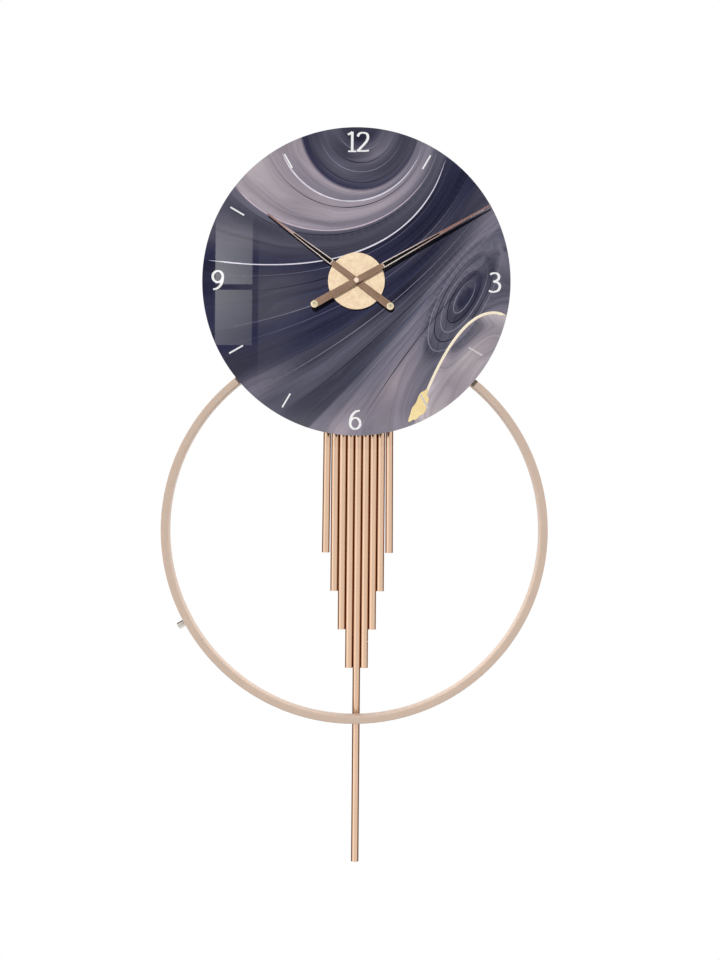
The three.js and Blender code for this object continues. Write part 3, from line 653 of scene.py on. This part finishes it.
def picture_material():
    """Marbling: the blended colours, streaked along the flow lines, under a layer of clear glass."""
    material, tree, shader = new_material("marbled_print")
    colour = tree.nodes.new("ShaderNodeAttribute")
    colour.attribute_name = "picture"
    level = tree.nodes.new("ShaderNodeAttribute")
    level.attribute_name = "level"
    place_node = tree.nodes.new("ShaderNodeTexCoord")
    split = tree.nodes.new("ShaderNodeSeparateXYZ")
    tree.links.new(place_node.outputs["Object"], split.inputs[0])
    warp = noise(tree, place_node.outputs["Object"], 9.0, detail=3)
    shifted = math_node(tree, "ADD", level.outputs["Fac"], math_node(tree, "MULTIPLY", warp, 0.5))

    def streaks(across, along, detail):
        vector = tree.nodes.new("ShaderNodeCombineXYZ")
        for socket, value, factor in (
            ("X", shifted, across),
            ("Y", split.outputs["X"], along),
            ("Z", split.outputs["Z"], along),
        ):
            tree.links.new(math_node(tree, "MULTIPLY", value, factor), vector.inputs[socket])
        return noise(tree, vector.outputs[0], 1.0, detail=detail)

    broad = streaks(3.0, 4.0, 2)
    fine = streaks(12.0, 7.0, 4)
    both = blend(tree, broad, 0.55, fine, 0.45)
    light = spread(tree, both, 0.66, 1.38)
    scaled = tree.nodes.new("ShaderNodeVectorMath")
    scaled.operation = "SCALE"
    tree.links.new(colour.outputs["Color"], scaled.inputs[0])
    tree.links.new(light, scaled.inputs["Scale"])
    tree.links.new(scaled.outputs[0], shader.inputs["Base Color"])
    rough = spread(tree, fine, 0.35, 0.5)
    tree.links.new(rough, shader.inputs["Roughness"])
    shader.inputs["Coat Weight"].default_value = 1.0
    shader.inputs["Coat Roughness"].default_value = 0.012
    shader.inputs["Specular IOR Level"].default_value = 0.0
    return material


def on_dial(points, turn=0.0):
    """Points in dial units, turned anticlockwise by an angle, as x and z in metres."""
    points = np.array(points, float)
    c, s = math.cos(turn), math.sin(turn)
    turned = np.stack([points[:, 0] * c - points[:, 1] * s, points[:, 0] * s + points[:, 1] * c], axis=1)
    return turned * DIAL_R + np.array([0, CENTRE.z])


def build_dial():
    piece("dial_picture", print_mesh(), FRAME, picture_material(), ("dial_glass",))
    inner = 0.0045  # the hole for the hands' shaft
    edge = lathe(
        "glass_edge",
        rounded(
            [(inner, GLASS_Y + 0.0003), (DIAL_R - 0.0002, GLASS_Y + 0.0002), (DIAL_R, GLASS_HIGH.y),
             (inner, GLASS_HIGH.y)],
            [0, 0.0008, 0.0004, 0],
            closed=True,
        ),
        segments=192,
    )
    place(edge, Matrix.Translation((0, 0, CENTRE.z)))
    piece("glass_edge", edge, FRAME, GLASS_EDGE)


# Hair lines: a colour, a width in mm, the share over which each end narrows, and the points.
HAIR_LINES = [
    ("white", 1.7, (0.1, 0.3), bowl(0.53)),
    ("pink", 1.7, (0.05, 0.4), bowl(0.72)),
    ("white", 1.6, (0.05, 0.1), sweep(0)),
]
for i, depth in enumerate((0.2, 0.28, 0.34, 0.41, 0.5, 0.57, 0.66, 0.75)):
    HAIR_LINES.append((("grey", "dark")[i % 2], 0.9, (0.3, 0.4), bowl(depth)))
for i, share in enumerate(np.linspace(0.05, 0.9, 14)):
    HAIR_LINES.append((("mist", "night", "blue", "grey")[i % 4], 0.9, (0.3, 0.5), sweep(share)))
for i, length in enumerate((0.12, 0.19, 0.26, 0.33, 0.4)):
    HAIR_LINES.append((("grey", "night")[i % 2], 1.0, (0.3, 0.3), eye(length)))


def build_veins():
    """The hair lines of the print, the cream line and the gold foil."""
    y = GLASS_Y
    rim = 0.985  # the lines end just inside it
    groups = {}
    for i, (key, width, ends, points) in enumerate(HAIR_LINES):
        line = spline(points, 10)
        line = on_dial(line[np.hypot(line[:, 0], line[:, 1]) < rim], PRINT_TURN)

        def swelling(share, width=width * MM, phase=i):
            return width * (1 + 0.25 * math.sin(17 * share + phase) * math.cos(7 * share))

        depth = y - 0.00001 * (i % 5)
        groups.setdefault(key, []).append(ribbon("hair", line, swelling, depth, taper=ends))
    for key, meshes in groups.items():
        name = f"hair_lines_{key}"
        piece(name, joined(name, meshes), FRAME, VEINS[key])
    gold = on_dial(spline(CREAM_LINE, 12), PRINT_TURN)
    cream = ribbon("cream_line", gold, 0.0034, y - 0.00006, taper=(0.05, 0.05))
    piece("cream_line", cream, FRAME, CREAM)
    # A flake of foil at the cream line's foot: a slanting oval with an uneven edge
    angles = np.linspace(0, 2 * math.pi, 40, endpoint=False)
    reach = 1 + 0.14 * np.sin(3 * angles) + 0.08 * np.sin(7 * angles + 1)
    flake = slanted(0.11 * reach * np.cos(angles), 0.04 * reach * np.sin(angles), 62, (0.41, -0.81))
    outline = [tuple(p) for p in on_dial(flake, PRINT_TURN)]
    foil = prism("gold_foil", outline, y - 0.00008, y + 0.00015)
    piece("gold_foil", foil, FRAME, FOIL)


# ---- Numerals and hour ticks ----
# A numeral is drawn with strokes in its own units: 1 is the numeral's height and (0, 0) is its centre. As
# with a pen, a stroke is widest where it runs up or down.

THICK = 0.125
THIN = 0.072
DIGITS = {
    "1": [[(-0.19, 0.36), (-0.08, 0.41), (0.01, 0.49)], [(0.01, 0.5), (0.01, -0.45)],
          [(-0.17, -0.45), (0.19, -0.45)]],
    "2": [spline([(-0.25, 0.27), (-0.17, 0.41), (0.0, 0.455), (0.17, 0.39), (0.21, 0.2), (0.12, 0.0),
                  (-0.06, -0.22), (-0.25, -0.44)], 8),
          [(-0.28, -0.43), (0.1, -0.43), (0.26, -0.4)]],
    "3": [spline([(-0.2, 0.39), (-0.04, 0.455), (0.13, 0.42), (0.2, 0.27), (0.13, 0.12), (-0.06, 0.04)], 8),
          spline([(-0.06, 0.04), (0.15, -0.01), (0.24, -0.18), (0.16, -0.38), (-0.06, -0.455),
                  (-0.25, -0.4)], 8)],
    "6": [spline([(0.2, 0.45), (0.0, 0.38), (-0.16, 0.18), (-0.225, -0.1)], 8),
          spline(arc(0, -0.175, 0.225, 0, 360, 16), 3) * np.array([1.0, 1.2]) + np.array([0, 0.035])],
    "9": [spline([(-0.2, -0.45), (0.0, -0.38), (0.16, -0.18), (0.225, 0.1)], 8),
          spline(arc(0, 0.175, 0.225, 0, 360, 16), 3) * np.array([1.0, 1.2]) - np.array([0, 0.035])],
}
NUMERALS = [("12", (0, 0.903)), ("3", (0.896, 0)), ("6", (0, -0.898)), ("9", (-0.899, 0))]
NUMERAL_H = 0.0268
DIGIT_WIDTH = 1.08
DIGIT_GAP = 0.54  # between the centres of two digits, in numeral heights
TICK_HOURS = (1, 2, 4, 5, 7, 8, 10, 11)
TICK_WIDTH = 0.002
FAINT_HOURS = (4, 5)


def pen_widths(line):
    """The width of a pen stroke at each point of a line, in numeral heights."""
    step = np.gradient(np.array(line, float), axis=0)
    upright = np.abs(step[:, 1]) / np.maximum(np.linalg.norm(step, axis=1), 1e-9)
    return THIN + (THICK - THIN) * upright


def build_numerals():
    top = GLASS_Y - 0.00012
    for text, (u, v) in NUMERALS:
        strokes = []
        for i, digit in enumerate(text):
            shift = (i - (len(text) - 1) / 2) * DIGIT_GAP
            for stroke in DIGITS[digit]:
                line = (np.array(stroke) * [DIGIT_WIDTH, 1] + [shift, 0]) * NUMERAL_H + on_dial([(u, v)])[0]
                depth = top - 0.00002 * len(strokes)
                strokes.append(ribbon("stroke", line, pen_widths(stroke) * NUMERAL_H, depth))
        name = f"numeral_{text}"
        piece(name, joined(name, strokes), FRAME, DIGIT)
    for hour in TICK_HOURS:
        a = math.radians(30 * hour)
        line = on_dial([(r * math.sin(a), r * math.cos(a)) for r in (0.845, 0.9, 0.948)])
        name = f"tick_{hour}"
        paint = FAINT if hour in FAINT_HOURS else DIGIT
        piece(name, ribbon(name, line, TICK_WIDTH, top), FRAME, paint)


# ---- Hub, hands, pins and cap ----


def build_hub():
    low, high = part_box("hub_disc")
    radius = (high.x - low.x) / 2
    inner = 0.0035
    profile = rounded(
        [(inner, low.y), (radius, low.y), (radius, high.y), (inner, high.y)],
        [0.0002, 0.0007, 0, 0],
        closed=True,
    )
    mesh = place(lathe("hub_plate", profile, 160), Matrix.Translation((0, 0, CENTRE.z)))
    piece("hub_plate", mesh, FRAME, HUB_METAL, ("hub_disc",))


TAIL_HALF = 0.005  # each hand narrows all the way from its tail to its tip
BAR_HALF = 0.0036
POINT_HALF = 0.002
TIP_HALF = 0.0008
RAIL = 0.0012
BAR_END = 0.0397


def build_hand(name, node, body, angle, length, rail_end, pin, hole_r):
    """A hand: a bevelled bar, and a bright fork of two rails that run together into the point. pin is
    where its tail's pin is."""
    low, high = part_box(node)
    bar = [(BAR_HALF, BAR_END), (-BAR_HALF, BAR_END), *arc(0, pin, TAIL_HALF, 180, 360, 20)]
    hole = arc(0, 0, hole_r, 0, 360, 32)[:-1]
    turn = Matrix.Translation(AXIS) @ Matrix.Rotation(math.radians(angle), 4, "Y")
    front, rear = low.y - AXIS.y, high.y - AXIS.y
    plate = place(prism(name, bar, front, rear, bevel=0.0005, holes=[hole]), turn)
    piece(name, plate, body, BRONZE, (node,))
    start = BAR_END - 0.0002
    fork = [
        (BAR_HALF, start), (POINT_HALF, rail_end), (TIP_HALF, length), (-TIP_HALF, length),
        (-POINT_HALF, rail_end), (-BAR_HALF, start),
    ]
    slot = [
        (-BAR_HALF + RAIL, BAR_END + 0.001), (-POINT_HALF + RAIL, rail_end),
        (POINT_HALF - RAIL, rail_end), (BAR_HALF - RAIL, BAR_END + 0.001),
    ]
    mesh = prism(name + "_fork", fork, front, rear, bevel=0.0003, holes=[slot], bevel_steps=1)
    piece(name + "_fork", place(mesh, turn), body, RAIL_METAL)
    # Painted shadow: a black sheet fills the slot, a little behind the rails' front.
    mesh = prism(name + "_slot_shadow", slot, front + 0.0003, rear)
    piece(name + "_slot_shadow", place(mesh, turn), body, SLOT_SHADOW)


def build_hands():
    build_hand(
        "minute_bar", "minute_hand", MINUTE, MINUTE_ANGLE, length=0.1985, rail_end=0.123, pin=-0.0622,
        hole_r=0.00165
    )
    build_hand(
        "hour_bar", "hour_hand", HOUR, HOUR_ANGLE, length=0.144, rail_end=0.1015, pin=-0.0548,
        hole_r=0.00275
    )
    stem = 0.0013  # the pin's radius in the hand
    lip = 0.0004  # the straight side under the dome
    for name, node, body in (
        ("minute_dome", "minute_hand_pin", MINUTE),
        ("hour_dome", "hour_hand_pin", HOUR),
    ):
        low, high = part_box(node)
        centre = (low + high) / 2
        radius = (high.x - low.x) / 2
        base = high.y - 0.0018
        rise = base - low.y - lip
        dome = [(radius * math.cos(a), base - lip - rise * math.sin(a))
                for a in np.linspace(0, math.pi / 2, 12)]
        profile = [(0, high.y), (stem, high.y), (stem, base), (radius - 0.0002, base), *dome[:-1],
                   (0, dome[-1][1])]
        mesh = place(lathe(name, profile, 48), Matrix.Translation((centre.x, 0, centre.z)))
        piece(name, mesh, body, DOME_METAL, (node,))
    low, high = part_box("centre_cap")
    radius = (high.x - low.x) / 2
    profile = rounded(
        [(0, low.y), (radius * 0.75, low.y + 0.0002), (radius, low.y + 0.0012), (radius, high.y),
         (0, high.y)],
        [0, 0.0008, 0.0006, 0.0002, 0],
    )
    mesh = place(lathe("cap_dome", profile, 48), Matrix.Translation((0, 0, CENTRE.z)))
    piece("cap_dome", mesh, MINUTE, CAP_METAL, ("centre_cap",))


# ---- Ring and stud ----


def build_ring():
    low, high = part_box("ring_frame")
    face = 0.010  # the band's width, seen from the front
    profile = rounded(
        [(RING_R - face, low.y), (RING_R, low.y), (RING_R, high.y), (RING_R - face, high.y)],
        [0.002, 0.0009, 0.0009, 0.0009],
        closed=True,
    )
    mesh = place(lathe("ring_band", profile, 320), Matrix.Translation((0, 0, RING_CENTRE.z)))
    piece("ring_band", mesh, FRAME, RING_METAL, ("ring_frame",))


def build_stud():
    """The stud: a rounded cylinder standing out of the ring along its radius."""
    centre = middle("ring_stud")
    outward = Vector((centre.x, 0, centre.z - RING_CENTRE.z)).normalized()
    turn = Vector((0, 0, 1)).rotation_difference(outward).to_matrix().to_4x4()
    start, end = RING_R + 0.0003, RING_R + 0.0103
    foot, peg, head = start - 0.0045, 0.002, 0.0044  # the peg's foot in the ring, and the two radii
    profile = rounded(
        [(0, foot), (peg, foot), (peg, start), (head, start), (head, end), (0, end)],
        [0, 0, 0, 0.0003, 0.0008, 0],
    )
    mesh = lathe("stud", profile, 48, axis="Z")
    place(mesh, Matrix.Translation((0, centre.y, RING_CENTRE.z)) @ turn)
    piece("stud", mesh, FRAME, STUD_METAL, ("ring_stud",))


# ---- Pendulum ----


def build_tubes():
    """Nine round tubes side by side, with painted shade, a dark brown, in the grooves between them and down
    the long one's sides. The outermost two hang a little splayed, as their nodes do."""
    wall = 0.0008
    count = 9
    loop = 0.001  # extra rows of corners this far from the ends keep the long faces' shading even
    soft = 0.0005  # the painted shade in a groove starts and stops over twice this
    lip = 0.0003
    boxes = [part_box(f"tube_{i}") for i in range(1, count + 1)]
    centres = [(low.x + high.x) / 2 for low, high in boxes]
    rod_x = centres[count // 2]
    pitch = rod_x - centres[count // 2 - 1]
    radius = pitch / 2
    for i, (low, high) in enumerate(boxes):
        node = f"tube_{i + 1}"
        length = high.z - low.z
        lean = (high.x - low.x) - size("tube_5").x
        # How far each side's neighbour reaches down from the tubes' top
        reach = {
            side: high.z - boxes[i + side][0].z if 0 <= i + side < count else 0.0 for side in (-1, 1)
        }
        breaks = sorted({-r for r in reach.values() if 0 < r < length})
        rows = [loop - length, *(z + step for z in breaks for step in (-soft, soft)), -loop]
        outer = [(radius, z) for z in rows]
        profile = rounded(
            [(radius - wall, -length), (radius, -length), *outer, (radius, 0), (radius - wall, 0)],
            [lip, lip, *[0] * len(outer), lip, lip],
            closed=True,
        )
        mesh = lathe(node + "_round", profile, 64, axis="Z")
        # Painted shade at each corner: full in a groove beside a neighbour, 0.7 down the long tube's sides,
        # none elsewhere.
        values = mesh.attributes.new("painted_groove_shade", "FLOAT", "POINT").data
        for vertex, value in zip(mesh.vertices, values):
            across = vertex.co.x / radius
            beside = -vertex.co.z < reach[1 if across > 0 else -1]
            depth = 1.0 if beside else 0.7 if i == count // 2 else 0.0
            value.value = depth * min(1, max(0, (abs(across) - 0.77) / 0.11))
        x = centres[i]
        tilt = 0.0
        if i in (0, count - 1):
            # The outermost ones touch their neighbours at the top only, and stand off at the foot.
            side = math.copysign(1, i - count // 2)
            foot = x + side * lean / 2
            x = rod_x + side * pitch * (count // 2)
            tilt = -math.atan2(foot - x, length)
        place(mesh, Matrix.Translation((x, middle(node).y, high.z)) @ Matrix.Rotation(tilt, 4, "Y"))
        piece(node + "_round", mesh, PENDULUM, TUBE_METAL, (node,))


# ---- CAD nodes that stay, with their finishes ----

KEPT = {
    "movement_case": BLACK, "movement_cover": BLACK, "circuit_board": CIRCUIT, "battery": JACKET,
    "stepper_coil": COPPER, "drive_coil": COPPER, "minute_arbor": BRASS, "hour_wheel": BRASS,
    "clamp_nut": BRASS, "setting_wheel": WHITE, "setting_knob": WHITE, "pendulum_arm": WHITE,
    "tube_header": TUBE_METAL, "standoff_left": BLACK, "standoff_right": BLACK,
    "standoff_foot_left": RUBBER, "standoff_foot_right": RUBBER, "dial_board": BOARD,
}


def finish_kept_nodes():
    """Every CAD node gets a finish, and those that stay in sight get bevelled edges."""
    for name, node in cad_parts.items():
        material = KEPT.get(name, STEEL)
        node.data.materials.clear()
        node.data.materials.append(material)
        if node.hide_render:
            continue
        modifier = node.modifiers.new("edges", "BEVEL")
        modifier.width = 0.00025
        modifier.segments = 2
        modifier.limit_method = "ANGLE"
        modifier.angle_limit = math.radians(40)
        modifier.harden_normals = True


# ---- Camera, floor, world and lights ----

CAMERA_DISTANCE = 2.0  # from the glass
SCALE = 0.001297  # metres in one picture unit at the glass, with the picture 960 units high
PICTURE_H = 960
CAMERA_DROP = 0.2577  # below the dial's centre
CAMERA_SIDE = -0.0026
CAMERA_ROLL = math.radians(0.5)
SHIFT = (7.35 / PICTURE_H, 0.0)
SENSOR = 36.0


def build_camera():
    data = bpy.data.cameras.new("camera")
    data.sensor_width = SENSOR
    data.lens = SENSOR * CAMERA_DISTANCE / (SCALE * PICTURE_H)
    data.shift_x, data.shift_y = SHIFT
    data.clip_start = 0.05
    data.clip_end = 50
    camera = bpy.data.objects.new("camera", data)
    bpy.context.scene.collection.objects.link(camera)
    place_at = Matrix.Translation((CAMERA_SIDE, GLASS_Y - CAMERA_DISTANCE, CENTRE.z - CAMERA_DROP))
    roll = Matrix.Rotation(CAMERA_ROLL, 4, Vector((0, -1, 0)))
    camera.matrix_world = place_at @ roll @ Matrix.Rotation(math.pi / 2, 4, "X")
    bpy.context.scene.camera = camera


FILL = 0.12  # light on matt surfaces from all around; the lamps do the rest
FRONT_GLOW = 1.0  # what polished surfaces mirror in front of the clock
LEFT_GLOW = 0.4  # and how much more there is on its left
BACK_GLOW = 0.7  # what they mirror behind it
DARK_GLOW = 0.06
DARK_COLOUR = (1.0, 0.62, 0.42)


def build_world():
    """White behind the clock. For its reflections: a bright front, dark sides, and a dark window in the
    directions that the glass mirrors to the camera."""
    world = bpy.data.worlds.new("studio")
    bpy.context.scene.world = world
    world.use_nodes = True
    world.cycles.sampling_method = "NONE"
    tree = world.node_tree
    tree.nodes.clear()
    output = tree.nodes.new("ShaderNodeOutputWorld")
    path = tree.nodes.new("ShaderNodeLightPath")
    mix = tree.nodes.new("ShaderNodeMixShader")
    seen = tree.nodes.new("ShaderNodeBackground")
    seen.inputs["Color"].default_value = (1, 1, 1, 1)
    studio = tree.nodes.new("ShaderNodeBackground")
    tree.links.new(path.outputs["Is Camera Ray"], mix.inputs[0])
    tree.links.new(studio.outputs[0], mix.inputs[1])
    tree.links.new(seen.outputs[0], mix.inputs[2])
    tree.links.new(mix.outputs[0], output.inputs[0])
    direction = tree.nodes.new("ShaderNodeTexCoord")
    split = tree.nodes.new("ShaderNodeSeparateXYZ")
    tree.links.new(direction.outputs["Generated"], split.inputs[0])
    x, y, z = split.outputs

    def between(value, low, high):
        """0 at low, 1 at high, smooth between."""
        node = tree.nodes.new("ShaderNodeMapRange")
        node.interpolation_type = "SMOOTHSTEP"
        for socket, number in (("From Min", low), ("From Max", high), ("To Min", 0.0), ("To Max", 1.0)):
            node.inputs[socket].default_value = number
        tree.links.new(value, node.inputs[0])
        return node.outputs[0]

    ahead = math_node(tree, "MULTIPLY", y, -1.0)
    front = between(ahead, -0.05, 0.35)
    back = between(y, 0.5, 0.75)
    left = between(math_node(tree, "MULTIPLY", x, -1.0), 0.35, 0.6)
    safe = math_node(tree, "MAXIMUM", ahead, 0.05)
    across = math_node(tree, "ABSOLUTE", math_node(tree, "DIVIDE", x, safe))
    rise = math_node(tree, "DIVIDE", z, safe)
    narrow = math_node(tree, "SUBTRACT", 1.0, between(across, 0.12, 0.3))
    over = between(rise, 0.034, 0.05)
    under = math_node(tree, "SUBTRACT", 1.0, between(rise, 0.26, 0.44))
    high = math_node(tree, "MULTIPLY", over, under)
    opening = math_node(tree, "MULTIPLY", narrow, high)
    window = math_node(tree, "MULTIPLY", opening, between(ahead, 0.3, 0.5))
    glow = math_node(tree, "ADD", math_node(tree, "MULTIPLY", left, LEFT_GLOW), FRONT_GLOW)
    lit = math_node(tree, "ADD", math_node(tree, "MULTIPLY", front, glow), DARK_GLOW)
    lit = math_node(tree, "ADD", math_node(tree, "MULTIPLY", back, BACK_GLOW), lit)
    dimmed = math_node(tree, "MULTIPLY", lit, math_node(tree, "SUBTRACT", 1.0, window))
    is_matt = path.outputs["Is Diffuse Ray"]
    strength = tree.nodes.new("ShaderNodeMix")
    tree.links.new(is_matt, strength.inputs[0])
    tree.links.new(dimmed, strength.inputs[2])
    strength.inputs[3].default_value = FILL
    tree.links.new(strength.outputs[0], studio.inputs["Strength"])
    colour = tree.nodes.new("ShaderNodeMix")
    colour.data_type = "RGBA"
    plain = math_node(tree, "MAXIMUM", math_node(tree, "MAXIMUM", front, back), is_matt)
    tree.links.new(plain, colour.inputs[0])
    colour.inputs[6].default_value = (*DARK_COLOUR, 1)
    colour.inputs[7].default_value = (1, 1, 1, 1)
    tree.links.new(colour.outputs[2], studio.inputs["Color"])


def build_panes():
    """The window that the glass mirrors: bright panes beside the camera, seen only in reflections. Each is
    given by the place on the dial where its reflection is, in dial units."""
    camera = Vector((CAMERA_SIDE, GLASS_Y - CAMERA_DISTANCE, CENTRE.z - CAMERA_DROP))

    def mirrored(u, v):
        x, z = on_dial([(u, v)])[0]
        return camera + 2 * Vector((x - camera.x, 0, z - camera.z))

    # Each pane's name, two corners, and glow at the start and end of its fade
    panes = [
        ("pane_upper", (-0.915, -0.025), (-0.675, 0.44), 3.9, 0.2),
        ("pane_lower", (-0.915, -0.42), (-0.675, -0.062), 3.2, 1.9),
        ("pane_second", (-0.635, -0.75), (-0.17, 0.43), 0.7, 0.0),
    ]
    for name, low, high, near, far in panes:
        a, b = mirrored(*low), mirrored(*high)
        mesh = bpy.data.meshes.new(name)
        corners = [(a.x, a.y, a.z), (b.x, a.y, a.z), (b.x, a.y, b.z), (a.x, a.y, b.z)]
        mesh.from_pydata(corners, [], [[0, 1, 2, 3]])
        pane = bpy.data.objects.new(name, mesh)
        bpy.context.scene.collection.objects.link(pane)
        material = bpy.data.materials.new(name)
        material.use_nodes = True
        material.cycles.emission_sampling = "NONE"
        tree = material.node_tree
        tree.nodes.clear()
        output = tree.nodes.new("ShaderNodeOutputMaterial")
        light = tree.nodes.new("ShaderNodeEmission")
        coordinates = tree.nodes.new("ShaderNodeTexCoord")
        split = tree.nodes.new("ShaderNodeSeparateXYZ")
        tree.links.new(coordinates.outputs["Generated"], split.inputs[0])
        fade = tree.nodes.new("ShaderNodeMapRange")
        fade.interpolation_type = "SMOOTHSTEP"
        fade.inputs["To Min"].default_value = near
        fade.inputs["To Max"].default_value = far
        along = split.outputs["X"] if name == "pane_second" else split.outputs["Z"]
        if name == "pane_lower":
            along = math_node(tree, "SUBTRACT", 1.0, along)
        if name == "pane_upper":
            along = math_node(tree, "MULTIPLY", along, along)
        tree.links.new(along, fade.inputs[0])
        strength = fade.outputs[0]
        if name != "pane_second":
            drop = math_node(tree, "MULTIPLY", split.outputs["X"], 0.55)
            leftward = math_node(tree, "SUBTRACT", 1.15, drop)
            strength = math_node(tree, "MULTIPLY", strength, leftward)
        if name == "pane_second":
            up = split.outputs["Z"]
            down = math_node(tree, "SUBTRACT", 1.0, up)
            for share in (up, down):
                edge = math_node(tree, "MULTIPLY", share, 2.2, clamp=True)
                strength = math_node(tree, "MULTIPLY", strength, edge)
        tree.links.new(strength, light.inputs["Strength"])
        tree.links.new(light.outputs[0], output.inputs["Surface"])
        mesh.materials.append(material)
        pane.visible_camera = False
        pane.visible_diffuse = False
        pane.visible_shadow = False


def build_floor():
    radius, thick = 1.35, 0.01
    mesh = lathe("floor", [(0, 0), (radius, 0), (radius, thick), (0, thick)], 96)
    floor = bpy.data.objects.new("floor", mesh)
    floor.rotation_euler = (math.pi / 2, 0, 0)
    floor.location = (0, 0, CAD_BOX[0][2] - 0.6)
    bpy.context.scene.collection.objects.link(floor)
    mesh.materials.append(
        grained("floor_paper", srgb(244, 243, 241), 0.0, 0.8, grain=(60, 60, 60), shade=0.01)
    )
    floor.visible_diffuse = False


def sun(name, direction, power, angle):
    """A lamp far away, shining along a direction. Polished surfaces don't mirror it."""
    data = bpy.data.lights.new(name, "SUN")
    data.energy = power
    data.angle = math.radians(angle)
    lamp = bpy.data.objects.new(name, data)
    bpy.context.scene.collection.objects.link(lamp)
    lamp.rotation_euler = Vector(direction).to_track_quat("-Z", "Y").to_euler()
    lamp.visible_glossy = False


def build_lights():
    """A hard key light from above, which gives the hands their shadows, and soft ones from the sides."""
    sun("key", (0.12, 1.0, -0.38), 3.05, 2)
    sun("from_right", (-1.0, -0.35, 0.0), 3.2, 20)
    sun("from_left", (1.0, -0.35, 0.0), 3.2, 20)
    sun("from_top", (0.0, -0.35, -1.0), 3.2, 50)


def main():
    scene = bpy.context.scene
    scene.view_settings.view_transform = "Standard"
    scene.view_settings.look = "None"
    build_camera()
    build_dial()
    build_veins()
    build_numerals()
    build_hub()
    build_hands()
    build_ring()
    build_stud()
    build_tubes()
    finish_kept_nodes()
    build_floor()
    build_world()
    build_panes()
    build_lights()


main()
